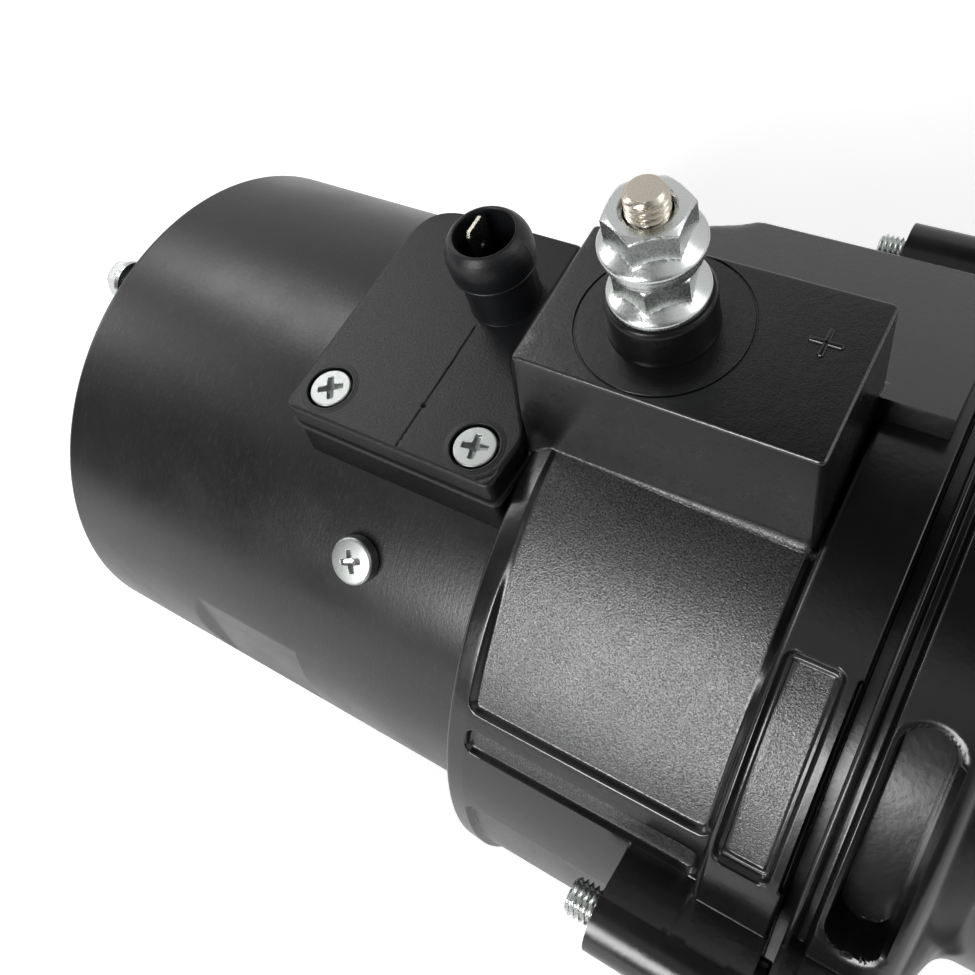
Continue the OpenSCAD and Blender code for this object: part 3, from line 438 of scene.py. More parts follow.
cast = Settings(
    radius=87.6, rearRound=1.2, bandRadius=91.5, bandStart=60.35, bandRound=1.9, front=76.3, frontRound=0.9,
    # the rear rim's rise beside the terminal box: the angle where it starts to fade, the angle it fades over, its width
    rimRise=1.9, rimFrom=15, rimFade=14, rimWidth=5.2, rimEnd=58.5, rimTaper=0.4,
    panels=[[-14, 49.7], [53.3, 57.3], [71, 108], [112, 148], [152, 174], [192, 214], [218, 252], [256, 284]],
    panelStart=5.6, panelEnd=59.7, panelDepth=1.4, panelCorner=2.2, panelEdge=1.1, firstEdge=2.0,
    swell=2.9, swellFrom=14, swellFade=26, sandInset=0.8,
    pockets=[[22.6, 50], [120, 150], [216, 246]], pocketStart=62.4, pocketEnd=73, pocketDepth=2.4,
    pocketCorner=1.8, floorStep=0.5, stepInset=1.3, pocketSand=1.6, notchDepth=1.6,
    # the far shoulder: (normal y, normal z, distance) of its faces, and its rear slope's height along x
    shoulderFaces=[(0.4218, 0.9067, 92.53), (0.7071, 0.7071, 97.60), (0.9404, 0.3401, 87.98)],
    slopeAngle=-46, slopeLine=([-1.2, 3.8, 10, 15], [91, 94.1, 95.8, 97.9]), grazing=0.05,
    shoulderMiddle=-36.5, shoulderHalf=29.5, shoulderEnd=74.3, blend=0.8, overhang=1.2,
    bosses=[-57, 63, 183], bossCircle=98.6, bossRadius=8, bossHalf=5.0, bossStart=46, bossEnd=78.7,
    rows=[(0, 1.2, 6), (2, 4.6, 4), (4.9, 6.6, 11), (7, 45.4, 24), (45.6, 46.5, 8), (47.5, 58.4, 9),
          (58.7, 60.2, 9), (60.5, 63.8, 20), (65, 71, 5), (71.6, 76.3, 26)])


def raisedBosses(r, angle, radius, half, along):
    # the radius, raised to each clamping boss: the cosine of its circle plus the root of its radius squared
    # less the sideways distance squared
    for boss in cast.bosses:
        d = np.abs(turn(angle, boss))
        side = np.minimum(np.abs(cast.bossCircle * np.sin(np.radians(d))), radius - 0.4)
        top = cast.bossCircle * np.cos(np.radians(d)) + np.sqrt(radius ** 2 - side ** 2)
        r = np.maximum(r, r + (top - r) * inside(d - half, 0.9) * along)
    return r


def castRadius(x, angle):
    # the tube's radius, less each panel and pocket, joined to the shoulder and the bosses by the larger of the two.
    # The first panel's floor swells and the rear rim slopes up to it on both sides of the terminal box
    k = cast
    fromTop = np.abs(turn(angle, 0))
    r = k.radius - k.rearRound * (1 - np.sqrt(1 - np.clip(1 - x / k.rearRound, 0, 1) ** 2))
    rim = np.clip(x / k.rimWidth, 0, 1) * (1 - ease((x - k.rimEnd) / 0.8))
    r = r + k.rimRise * (1 - ease((fromTop - k.rimFrom) / k.rimFade)) * rim
    r = r - k.rimTaper * np.clip(1 - x / k.rimWidth, 0, 1)
    t = np.clip((x - k.bandStart) / k.bandRound, 0, 1)   # the band's rear corner is a quarter of an ellipse
    r = r + (k.bandRadius - k.radius) * np.sqrt(1 - (1 - t) ** 2)
    r = r - k.frontRound * ease((x - k.front + k.frontRound) / k.frontRound) ** 2
    sand = np.zeros(np.broadcast_shapes(x.shape, angle.shape))
    middle, half = (k.panelStart + k.panelEnd) / 2, (k.panelEnd - k.panelStart) / 2
    swell = k.swell * (1 - ease((fromTop - k.swellFrom) / k.swellFade))
    for a0, a1 in k.panels:
        first = a0 < 0
        u = np.radians(turn(angle, (a0 + a1) / 2)) * k.radius
        d = rectDistance(u, x - middle, np.radians(a1 - a0) / 2 * k.radius, half, k.panelCorner)
        floor = k.radius - k.panelDepth + swell * first
        r = r + (floor - r) * inside(d, k.firstEdge if first else k.panelEdge)
        sand = np.maximum(sand, inside(d + k.sandInset, 1.0))
    middle, half = (k.pocketStart + k.pocketEnd) / 2, (k.pocketEnd - k.pocketStart) / 2
    for a0, a1 in k.pockets:
        u = np.radians(turn(angle, (a0 + a1) / 2)) * k.bandRadius
        halfU = np.radians(a1 - a0) / 2 * k.bandRadius
        d = rectDistance(u, x - middle, halfU, half, k.pocketCorner)
        r = r - (k.pocketDepth - k.floorStep) * inside(d, 0.9) - k.floorStep * inside(d + k.stepInset, 0.6)
        sand = np.maximum(sand, inside(d + k.pocketSand, 0.6))
        r = r - k.notchDepth * inside(rectDistance(u, x - k.front, halfU, 1.0, 0.5), 0.5)
    a = np.radians(angle)
    facing = np.maximum(np.cos(np.radians(turn(angle, k.slopeAngle))), k.grazing)
    limit = np.interp(x, *k.slopeLine) / facing
    for ny, nz, distance in k.shoulderFaces:
        facing = -ny * np.sin(a) + nz * np.cos(a)
        limit = np.minimum(limit, np.where(facing > k.grazing, distance / np.maximum(facing, k.grazing), farAway))
    wide = inside(np.abs(turn(angle, k.shoulderMiddle)) - k.shoulderHalf, 1.0) * inside(x - k.shoulderEnd, 0.8)
    shoulder = limit * wide
    hump = 0.5 * (r + shoulder + np.sqrt((r - shoulder) ** 2 + k.blend))
    r = np.where(shoulder > 1, np.maximum(hump - 0.1, r), r)
    return raisedBosses(r, angle, k.bossRadius, k.bossHalf, inside(k.bossStart - x, 0.5)), sand


def clustered(step, edges, spread, fine):
    # even steps from 0 to 360 with finer ones round the edges
    near = np.add.outer(np.asarray(edges, float) % 360, np.arange(-spread, spread + fine / 2, fine)).ravel() % 360
    return np.unique(np.round(np.concatenate([np.arange(0, 360, step), near]), 3))


padTop = Settings(
    x0=2.7, x1=60.2, y0=-16.7, y1=16.5, top=118.5, corner=1.0, edge=0.7, inner=82.5,
    draft=0.155, lean=3.6, flare=0.1, flareX=5.2, flareTop=90, foot=86.0, grain=0.25,
    ringInner=15.75, ringOuter=16.15, ringDepth=0.4, hole=6.03, padThickness=5.5, room=14,
    plus=(52, 5), plusHalf=3, plusArm=0.55, plusProud=0.45, plusSunk=0.6)


def padReach(angle, grow, lean=0.0):
    # distance from the stud to a round-cornered rectangle grown by grow, its rear side moved out by lean as well
    k = padTop
    x0, x1, y0, y1 = k.x0 - lean - grow, k.x1 + grow, k.y0 - grow, k.y1 + grow
    corner = max(k.corner + grow, 0.3)
    t, sx, sy = roundCorners(24)
    x = (x0 + x1) / 2 - studX + sx * ((x1 - x0) / 2 - corner) + corner * np.cos(t)
    y = (y0 + y1) / 2 + sy * ((y1 - y0) / 2 - corner) + corner * np.sin(t)
    return reachAround(np.stack([x, y], -1), angle, 40)


def padWall(angle, z, grow=0.0):
    # the wall at height z: the rear side leans out by the draft, and the rear corners spread towards their foot
    k = padTop
    p = upright(padReach(angle, grow, min((k.top - z) * k.draft, k.lean)), z, angle, (studX, 0))
    p[:, 1] *= 1 + k.flare * ease((k.flareX - p[:, 0]) / 5.5) * ease((k.flareTop - z) / 6)
    return p


def castGround(p):
    # height of the casting's outside under each point: the root of its radius squared less y squared
    across = np.degrees(np.arcsin(np.clip(-p[:, 1] / 87, -1, 1)))
    for _ in range(2):
        height = np.sqrt(np.maximum(castRadius(p[:, 0], across)[0] ** 2 - p[:, 1] ** 2, 1))
        across = np.degrees(np.arctan2(-p[:, 1], height))
    return height


def padFoot(angle):
    # a small hollow curve from the wall's foot down to the casting, widening towards the front end of both sides
    k = padTop
    wall = padWall(angle, k.foot)
    out = padWall(angle, k.foot, 1.0) - wall
    width = 0.35 + 1.25 * ease((wall[:, 0] - 5) / 50) * ease((k.x1 - 0.2 - wall[:, 0]) / 1.2)
    steps = [(width * (1 - math.sin(t)), width * (1 - math.cos(t))) for t in (*quarter[::-1], 0)]
    steps += [(width + 0.08, -0.06), (width + 0.3, -0.4)]
    rows = []
    for grow, height in steps:
        p = wall + out * grow[:, None]
        p[:, 2] = castGround(p) + height
        rows.append(p)
    return rows


def makeTerminalPad():
    # rows run out from the stud's hole over the top, down the wall, out along the foot and back underneath
    k = padTop
    corners = [np.degrees(math.atan2(y, x - studX)) for x in (k.x0 - k.lean / 2, k.x1) for y in (k.y0, k.y1)]
    angle = clustered(2.0, corners, 8, 0.4)
    reach, stud = padReach(angle, -k.edge), (studX, 0)
    steps = [(k.room, k.top - k.inner), (k.room, k.padThickness + 0.5), (k.hole, k.padThickness), (k.hole, 0.3),
             (k.hole + 0.3, 0), (10, 0), (15, 0), (k.ringInner - 0.05, 0), (k.ringInner, 0.05),
             (k.ringInner + 0.06, k.ringDepth), (k.ringOuter - 0.06, k.ringDepth), (k.ringOuter, 0.05),
             (k.ringOuter + 0.05, 0)]
    rows = [upright(np.minimum(radius, reach), k.top - drop, angle, stud) for radius, drop in steps]
    flat = k.ringOuter + 0.15
    for share in (0.15, 0.4, 0.7, 1.0):
        out = np.maximum(reach * share + (1 - share) * flat, flat)
        rows.append(upright(np.minimum(out, reach), k.top, angle, stud))
    rows += [padWall(angle, k.top - k.edge * (1 - math.cos(t)), k.edge * (math.sin(t) - 1)) for t in quarter]
    rows += [padWall(angle, z) for z in (115, 112, 108, 104, 100, 97, 95, 93.5, 92.2)]
    foot = padFoot(angle)
    grain = np.full(len(rows) + len(foot) + 1, k.grain)
    grain[len(rows):] = 1
    rows += foot + [upright(padReach(angle, -2.0), k.inner, angle, stud)]
    (x, y), low, high = k.plus, k.top - k.plusSunk, k.top + k.plusProud
    plus = [block((x - u, y - v, low), (x + u, y + v, high), 0.35)
            for u, v in ((k.plusHalf, k.plusArm), (k.plusArm, k.plusHalf))]
    return [shell(rows, True, np.repeat(grain, len(angle)))] + plus


def makeCastHousing():
    # rows: along the outside from rear to front, then back along the inside
    k = cast
    edges = [a for s in k.panels + k.pockets for a in s]
    angle = clustered(1.5, edges + [-66, -7, -44, k.slopeAngle], 1.2, 0.15)
    angle = np.unique(np.concatenate([angle, clustered(1.5, k.bosses, 6.0, 0.3)]))
    xs = spans(k.rows)[:, None]
    r, sand = castRadius(xs, angle)
    wide = inside(np.abs(turn(angle, k.shoulderMiddle)) - k.shoulderHalf, 1.0)[None, :]
    overhang = wide * np.clip(1 - xs / 3, 0, 1) * k.overhang
    front = np.array([[76.3, 89.2], [76.3, 84.3], [76.5, 84], [82, 84], [82, 80], [22, 80], [22, 58.03], [14, 58.03],
                      [14, 76.95], [0.3, 76.95], [0, 77.3], [0, 84.5]])
    rows = [around(xs - overhang, r, angle), around(front[:, :1], front[:, 1:], angle)]
    grain = np.vstack([sand, np.zeros((len(front), len(angle)))])
    tube = shell(np.vstack(rows), True, grain)
    # the front stretch of each clamping boss, past the flange band
    ends = soften([[70, 0.05], [70, k.bossRadius], [k.bossEnd, k.bossRadius], [k.bossEnd, 0.05]], [0, 0, 0.7, 0],
                  4, False)
    post = shell(carried(ends[:, ::-1], np.arange(72) * 5))
    posts = [moved(post, lambda p, a=a: rolled(tipped(p), a, (0, 0, k.bossCircle))) for a in k.bosses]
    piece("castCentreHousing", [tube] + posts + makeTerminalPad(), "cast_paint", ["centre_housing"], 40)


drive = Settings(
    radius=91, slots=[39, 87, 159, 207, 279, 327], slotHalf=11.5, slotStart=84.4, slotEnd=94.1,
    slotDepth=8.6, rimDip=0.5, bossRadius=9, bossHalf=5.6, bossStart=78, bossEnd=92.2,
    lugs=[3, 123, 243], lugCircle=85, lugRadius=15, holeRadius=6.75, lugRear=126, lugFront=140)


def driveRadius(x, r, angle):
    # the turned radius, less each arched slot, and out to each bolt boss
    k = drive
    outer = np.broadcast_to(r, np.broadcast_shapes(x.shape, angle.shape)).copy()
    middle, half = (k.slotStart + k.slotEnd) / 2, (k.slotEnd - k.slotStart) / 2
    for a in k.slots:
        u = np.radians(turn(angle, a)) * k.radius
        d = rectDistance(u, x - middle, np.radians(k.slotHalf) * k.radius + half, half, half - 0.1)
        outer -= k.slotDepth * inside(d, 0.7) + k.rimDip * inside(d - 0.9, 1.6)
    return raisedBosses(outer, angle, k.bossRadius, k.bossHalf, (x < k.bossEnd) * (x > k.bossStart))


def lugShell(a):
    # a closed band of rows round the bolt hole: hole wall, front face, rim, rear face
    k = drive
    t, middle = np.radians(np.linspace(-80, 80, 41)), k.lugCircle
    arc = np.stack([k.lugRadius * np.cos(t), k.lugRadius * np.sin(t)], -1)
    angle = np.arange(240) * 1.5
    reach = reachAround(np.vstack([[[42 - middle, -34]], arc, [[42 - middle, 34]]]), angle, 30)
    hole, x0, x1 = k.holeRadius, k.lugRear, k.lugFront
    steps = [(x0 + 0.6, hole), (x1 - 0.6, hole), (x1, hole + 0.6), (x1, reach - 1.0), (x1 - 0.2, reach - 0.4),
             (x1 - 0.6, reach - 0.1), (x1 - 1.0, reach), (x0 + 1.6, reach), (x0 + 0.8, reach - 0.2),
             (x0 + 0.3, reach - 0.6), (x0, reach - 1.6), (x0, hole + 0.6)]
    rows = [around(x, radius, angle) + [0, 0, middle] for x, radius in steps]
    return moved(shell(rows, True), lambda p: rolled(p, a))


def makeDriveHousing():
    # a turned profile of (x, radius), with the slots and the bolt bosses on its outside, and three lugs
    k = drive
    outside = soften([[78.05, 82.5], [78.7, 84.1], [78.7, 91.4], [79.2, 91.9], [79.8, 91.9], [80.7, 88.6], [82.3, 88.6],
                      [83, 91], [96, 91], [98.5, 88], [106, 62], [110, 58], [140, 58], [140, 46], [147, 46], [147, 33],
                      [149, 30], [155, 30], [155, 24.3], [150.4, 24.3], [150.4, 20.03], [136, 20.03], [136, 50],
                      [82, 50], [82, 62], [78.05, 62], [78.05, 66.5], [94, 70], [94, 76], [84.6, 81.6], [83, 84.05],
                      [78.9, 84.05]],
                     [0.1, 0.1, 0.25, 0.2, 0.3, 0.5, 0.5, 0.5, 3, 4, 9, 3, 1.2, 1.0, 0.8, 1, 1, 1, 0.4] + [0.1] * 13, 5)
    steep = np.abs(np.diff(outside[:, 0], append=outside[0, 0])) > 1
    body = []
    for p, q, long in zip(outside, np.roll(outside, -1, 0), steep):   # finer rows where the slots are cut
        slotted = long and p[1] > 90 and q[1] > 90
        body.append(p + (q - p) * np.linspace(0, 1, 40, endpoint=False)[:, None] if slotted else p[None, :])
    profile = np.vstack(body)
    slotEnds = [a + s * (k.slotHalf + 2.8) for a in k.slots for s in (-1, 1)]
    angle = np.unique(np.concatenate([clustered(1.5, slotEnds, 2.6, 0.3), clustered(1.5, cast.bosses, 6.6, 0.3)]))
    x, r = profile[:, :1], profile[:, 1:]
    skin = (r > 87) & (x > 78.6) & (x < 97)
    rows = np.where(skin, driveRadius(x, r, angle), r)
    tube = shell(around(x, rows, angle), True)
    piece("driveHousingCasting", [tube] + [lugShell(a) for a in k.lugs], "cast_paint", ["drive_housing"], 40)


cover = Settings(
    top=88, thick=6, gasketBottom=80.1, centre=(-30, -5), edge=0.9, gasketProud=0.8,
    baseTop=0.2, baseFoot=1.0, screws=[(-50, -22.5), (-10.4, -22.8)], seat=5.45, seatDepth=3.2,
    tower=(-24.1, 14.2), towerHole=7.7, towerDepth=4, mouldLine=-26.5, lineEnd=4.5,
    lineDepth=0.3, pit=(-26.5, -18.3), pitDepth=0.6, bossCircle=8.3, bossStep=0.25,
    bossReach=(-7.6, -20.6), seamAngle=8)


def coverOutline(grow):
    # corners, listed and rounded, then 480 points by equal steps of angle about the centre
    g = grow
    corners = np.array([[-58.3 - g, -30.5 - g], [-2.4 + g, -30.5 - g], [-1.5 + g, -17], [-14.3 + g, 0],
                        [-14.3 + g, 33.7 + g], [-57.7 - g, 33.7 + g]])
    line = soften(corners, np.array([3.0, 2.0, 2.5, 3.0, 1.6, 11.5]) + 0.5 * g, 10)
    angle = np.arange(480) * 0.75
    return upright(reachAround(line - cover.centre, angle, 20), 0, angle, cover.centre)[:, :2]


def flatRow(xy, z):
    # a row of points at height z
    return np.column_stack([xy, np.broadcast_to(z, len(xy))])


def capRows(rim, height, shares):
    # rows at the height under them that draw an outline in to the cover's middle, to each share of its size
    middle = np.array(cover.centre)
    return [flatRow(xy, height(xy)) for xy in (middle + (rim - middle) * s for s in shares)]


def coverHeight(xy):
    # the top, sunk inside each screw seat and inside the socket, with a mould line across that breaks at a small pit
    # and the edge of the corner boss round the second screw
    k = cover
    x, y = xy[:, 0], xy[:, 1]
    near = lambda c: np.hypot(x - c[0], y - c[1])
    z = np.full(len(xy), float(k.top))
    for c in k.screws:
        z -= k.seatDepth * inside(near(c) - k.seat - 0.4, 0.3)
    z -= k.towerDepth * inside(near(k.tower) - k.towerHole, 0.4)
    line = np.abs(x - k.mouldLine) + 9 * (y > k.lineEnd)   # 9 mm is well clear of the line
    z -= (k.lineDepth - 0.12 * ease(np.abs(y + 8) / 3 - 1)) * inside(line - 0.16, 0.22)
    z -= k.pitDepth * inside(near(k.pit) - 0.5, 0.4)
    arc = np.abs(near(k.screws[1]) - k.bossCircle) + 9 * (x < k.bossReach[0]) + 9 * (y > k.bossReach[1])
    return z - k.bossStep * inside(arc - 0.2, 0.25)


def makeSocket():
    # the round plug socket: thin-lipped barrel collar over a stepped neck, the mould's parting line up one side;
    # the outline is (radius, height over the cover)
    k = cover
    outline = np.array([[6.72, -3], [6.72, 21.0], [6.95, 21.45], [7.5, 21.3], [8.6, 20.1], [9.4, 18.6], [9.85, 16.6],
                        [9.8, 14.4], [9.62, 12.6], [9.78, 12.45], [9.78, 12.2], [8.85, 12.1], [8.85, 11.0],
                        [8.45, 10.8], [8.4, 1.2], [8.45, 0.3], [8.6, 0.02], [8.6, -0.3], [8.4, -1], [8.4, -5.6],
                        [0.1, -5.6], [0.1, -3]])
    cuts = [0.1, 0.2, 0.15, 0.3, 0.5, 0.6, 0.8, 0.05, 0.04, 0.04, 0.06, 0.08, 0.2, 0.1, 0.3, 0.15, 0.05, 0.1, 0.1, 0.1,
            0.02, 0.02]
    profile = soften(outline + [0, k.top], cuts)
    angle = clustered(3.0, [k.seamAngle], 3, 0.5)
    r, height = profile[:, :1], profile[:, 1:]
    seam = 0.09 * inside(np.abs(turn(angle, k.seamAngle)) - 0.9, 1.2)[None, :] * ((r > 8.3) & (height > k.top + 1.5))
    return shell(upright(r + seam, height, angle, k.tower), True)


def makeCover():
    # the top from its middle out, its rounded edge by 1 - sin and 1 - cos, the side and the underside
    k = cover
    top, e, low = k.top, k.edge, k.top - k.thick
    rim = coverOutline(-e)
    rows = capRows(rim, coverHeight, np.linspace(0.004, 1, 96))
    rows += [flatRow(coverOutline(e * (math.sin(t) - 1)), top - e * (1 - math.cos(t))) for t in quarter]
    rows += [flatRow(coverOutline(g), low + h) for g, h in ((0.12, 0.5), (0.12, 0.3), (-0.1, 0.12), (-0.7, 0.02))]
    rows += capRows(rim, lambda xy: low + 0.02, (0.5, 0.01))
    # the moulded seat round each screw head: a low bright rim and the dark gap inside it
    seat = soften([[k.seat, top - 2.4], [6.9, top - 2.4], [6.9, top + 0.012], [6.15, top + 0.03], [5.9, top + 0.09],
                   [5.55, top + 0.06], [k.seat, top - 0.12]], [0.05, 0.05, 0.05, 0.1, 0.12, 0.1, 0.08], 3)
    shells = [shell(rows), makeSocket()] + [spindle(seat, c) for c in k.screws]
    piece("terminalCoverMoulding", shells, "cover_plastic", ["terminal_cover"], 34)


def makeGasketAndBase():
    # the gasket's grooved side between two flat faces; the base runs down to the root of the yoke's radius squared
    # less y squared
    k = cover
    z0, z1, proud = k.gasketBottom, k.top - k.thick, k.gasketProud
    rim = coverOutline(proud - 0.3)
    rows = capRows(rim, lambda xy: z1 - 0.02, (0.01, 1))
    rows += [flatRow(coverOutline(proud + g), z) for g, z in (
        (-0.1, z1 - 0.06), (0, z1 - 0.22), (0, z1 - 0.5), (-0.14, z1 - 0.65), (-0.14, z1 - 0.85), (0.06, z1 - 1.0),
        (0.06, z1 - 1.5), (0, z0 + 0.2), (-0.12, z0 + 0.05))]
    rows += capRows(rim, lambda xy: z0 + 0.02, (0.98, 0.01))
    piece("coverGasketRing", [shell(rows)], "seal_rubber", ["cover_gasket"], 34)
    top, foot = coverOutline(k.baseTop), coverOutline(k.baseFoot)
    onYoke = lambda xy: np.sqrt((yoke.radius + 0.04) ** 2 - np.clip(xy[:, 1], -76, 76) ** 2)
    rows = capRows(top, lambda xy: z0 - 0.02, (0.01, 0.98))
    rows += [flatRow(top, z0 - 0.3), flatRow(foot, onYoke(foot) + 0.5),
             flatRow(coverOutline(k.baseFoot + 0.1), onYoke(foot))]
    rows += capRows(foot, lambda xy: onYoke(xy) + 0.02, (0.98, 0.7, 0.4, 0.01))
    bridge = block((-16, -14.5, 76.9), (-0.1, -3.5, z0 - 0.1), 0.6)
    piece("terminalBaseMoulding", [shell(rows), bridge], "base_plastic", ["terminal_base"], 34)


def hexReach(angle, across):
    # distance from the middle of a hexagon to its side: half the width over the cosine from the side's middle
    return across / 2 / np.cos(np.radians((angle + 30) % 60 - 30))


thread = Settings(stepsPerTurn=11, depth=0.68, flank=1.18, crest=0.09, chamfer=0.9)


def threadedRod(z0, z1, radius, pitch, plain=0.0):
    # radius less a V groove whose place climbs one pitch a turn; the end is cut to a cone
    k = thread
    angle = np.arange(60) * 6
    z = np.concatenate([[z0], np.arange(z0 + plain, z1, pitch / k.stepsPerTurn), [z1]])
    wave = np.abs(2 * ((z[:, None] / pitch - angle / 360) % 1) - 1)
    groove = np.clip(k.flank * (1 - wave) - k.crest, 0, 1) * k.depth * pitch
    groove = groove * ease((z[:, None] - z0 - plain) / pitch)
    r = np.minimum(radius - groove, radius - np.clip(z[:, None] - z1 + k.chamfer, 0, 9) * 0.9)
    return shell(upright(np.maximum(r, 0.3), z[:, None], angle))


nutShape = Settings(across=13, flange=17.9, flangeHeight=1.4, coneHeight=1.7, bore=4.03, bevel=0.7)


def onStud(part):
    # carries a shell from the origin to the battery stud
    return moved(part, lambda p: p + [studX, 0, 0])


def flangeNut(z0, height, twist):
    # at each height the larger of the flange's cone and the hexagon cut by a 30 degree chamfer
    k = nutShape
    angle = np.arange(144) * 2.5
    top, wide, half = z0 + height, k.flange / 2, k.across / 2
    z = np.unique(np.append(z0 + np.array([0, 0.12, 0.35]), spans([(z0 + 0.5, z0 + 4.2, 15), (z0 + 4.6, top - 1.8, 4),
                                                                   (top - 1.6, top, 12)])))
    flange = np.interp(z - z0, [0, 0.3, k.flangeHeight - 0.25, k.flangeHeight, k.flangeHeight + k.coneHeight, 99],
                       [wide - 0.3, wide, wide, wide - 0.2, half, 0])
    cone = half - 0.25 + (top - z) * 1.5
    hexagon = np.minimum(hexReach(angle, k.across)[None, :], cone[:, None])
    r = np.maximum(np.maximum(flange[:, None], hexagon), 1)
    bore = [(k.bore + k.bevel, top), (k.bore, top - k.bevel), (k.bore, z0 + k.bevel), (k.bore + k.bevel, z0)]
    part = shell(np.vstack([upright(r, z[:, None], angle), carried(bore, angle)]), True)
    return onStud(moved(part, lambda p: spun(p, twist)))


def springWasher(z0, inner, outer, thick):
    # a square wire bent once round, its ends a third of its thickness apart
    t = np.linspace(6, 354, 90)
    lift = (t - 180) / 348 * thick * 0.35
    section = soften([[inner, 0], [outer, 0], [outer, thick], [inner, thick]], 0.25, 3)
    return onStud(shell(upright(section[None, :, 0], z0 + section[None, :, 1] + lift[:, None], t[:, None])))


# heights over the shaft: stud's thread and pitch, each nut (foot, height, twist), spring washer and plain washer
terminal = Settings(
    stud=(109.5, 150.4, 3.65, 1.25, 16.5), head=((17, -8, 105), (36, 8, 109.9)), legFoot=95.8,
    legTop=107.8, legThick=3, legHalf=8, nuts={"lower": (127.03, 8.3, 12), "upper": (138.46, 8.1, 3)},
    springWasher=(135.55, 4.3, 7.9, 1.3), washer=(4.25, 8.45, 136.95, 138.4))


def makeBatteryTerminal():
    # the stack on the stud: each piece stands at the height its settings give
    k = terminal
    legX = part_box("motor_contact")[0].x / mm - rearFace
    leg = block((legX, -k.legHalf, k.legFoot), (legX + k.legThick, k.legHalf, k.legTop), 0.5)
    piece("batteryStudBolt", [onStud(threadedRod(*k.stud)), block(*k.head, 0.6), leg], "stud_nickel",
          ["battery_stud"], 34)
    profile = soften([[4.03, 113], [6, 113], [6, 118.53], [10.1, 118.53], [9.9, 119.2], [9.8, 126.2], [9.3, 126.98],
                      [6.3, 126.98], [5.9, 126.4], [4.03, 126.4]],
                     [0.1, 0.1, 0.05, 0.1, 0.3, 0.4, 0.3, 0.2, 0.2, 0.1])
    piece("insulatorBushing", [spindle(profile, (studX, 0), 128)], "insulator_plastic", ["insulator_bush"], 34)
    for name, nut in k.nuts.items():
        piece(name + "FlangeNut", [flangeNut(*nut)], "zinc_steel", [name + "_nut"], 32)
    r0, r1, z0, z1 = k.washer
    plain = spindle(soften([[r0, z0], [r1, z0], [r1, z1], [r0, z1]], 0.3, 3), (studX, 0))
    piece("terminalWashers", [springWasher(*k.springWasher), plain], "zinc_steel", ["stud_washers"], 32)


earthScrew = Settings(
    radius=5.85, height=3.6, edge=0.8, arm=2.7, depth=1.6, width=1.3, crown=0.35,
    shank=[(2.95, 0), (2.9, -4.6)])
coverScrew = Settings(
    radius=4.85, height=0.6, edge=0.3, arm=2.9, depth=1.7, width=1.3, crown=0.0,
    shank=[(2.5, -2.3), (2.45, -15)])
screwPlaces = Settings(
    earthTwist=24, earthAngle=39.3, earthPlace=(-36.2, 0, 76.82), coverTwists=(33, 12),
    coverSunk=0.72)


def crossScrew(radius, height, edge, arm, depth, width, crown, shank):
    # a low dome that drops by crown (r / radius)^2.4, less a cross whose arms' floors slope to meet at the bottom
    angle = np.arange(144) * 2.5
    r = spans([(0.05, arm + 0.4, 34), (arm + 0.6, radius - edge, 8)])[:, None]
    x, y = r * np.cos(np.radians(angle)), r * np.sin(np.radians(angle))
    small, large = np.minimum(np.abs(x), np.abs(y)), np.maximum(np.abs(x), np.abs(y))
    z = height - crown * (r / radius) ** 2.4
    slot = inside(small - width / 2 * np.clip(1.25 - large / arm * 0.35, 0.5, 2), 0.22) * inside(large - arm, 0.35)
    z = z - slot * depth * (1 - 0.55 * large / arm)
    low = height - crown * ((radius - edge) / radius) ** 2.4
    t = np.radians([22, 45, 68, 90])
    side = np.stack([radius - edge + edge * np.sin(t), low - edge * (1 - np.cos(t))], -1)
    return shell(np.vstack([upright(r, z, angle), carried(side, angle),
                            carried([(radius, 0.2), (radius - 0.25, 0)] + shank, angle)]))


def makeScrews():
    # the earth screw stands on the yoke's side, the other two in their seats in the cover
    k = screwPlaces
    head = moved(crossScrew(**earthScrew), lambda p: rolled(spun(p, k.earthTwist), k.earthAngle, k.earthPlace))
    piece("earthScrewPan", [head], "zinc_steel", ["earth_screw"], 40, finish="screw_zinc")
    heads = [moved(crossScrew(**coverScrew), lambda p: spun(p, twist) + [x, y, cover.top - k.coverSunk])
             for (x, y), twist in zip(cover.screws, k.coverTwists)]
    piece("coverScrewHeads", heads, "zinc_steel", ["cover_screws"], 40, finish="screw_zinc")


def hexBolt(x0, x1, radius, across, headHeight, flange, pitch, threadLength, headFirst):
    # head, flange and shank in one run of rows along x, then a thread at the far end
    angle = np.arange(96) * 3.75
    z = np.array([0, 0.15, 0.4, 0.8, 1.2, headHeight - 1.6, headHeight - 1.5, headHeight - 0.3, headHeight - 0.02])
    cone = across / 2 - 0.3 + z * 1.6
    reach = np.minimum(hexReach(angle, across)[None, :], cone[:, None])
    reach = np.where((z > headHeight - 1.55)[:, None], flange, reach)
    start = x1 - x0 - threadLength
    shank = [(radius + 0.2, headHeight), (radius, headHeight + 0.4), (radius, start + 0.5)]
    head = shell(np.vstack([upright(reach, z[:, None], angle), carried(shank, angle)]))
    rod = threadedRod(start, x1 - x0, radius - 0.01, pitch)
    side, end = ([1, 1, 1], x0) if headFirst else ([-1, 1, -1], x1)
    return [moved(s, lambda p: tipped(p) * side + [end, 0, 0]) for s in (head, rod)]


# each set's angles round the shaft and its circle's radius, then its bolts
boltSets = {"through": ((5, 185), 66.8, {
                "x0": -153, "x1": 21, "radius": 3.0, "across": 10, "headHeight": 6.0, "flange": 6.2, "pitch": 1.0,
                "threadLength": 24, "headFirst": True}),
            "housing": (cast.bosses, cast.bossCircle, {
                "x0": 39.5, "x1": 100, "radius": 4.0, "across": 13, "headHeight": 7.97, "flange": 7.4, "pitch": 1.25,
                "threadLength": 24, "headFirst": False})}


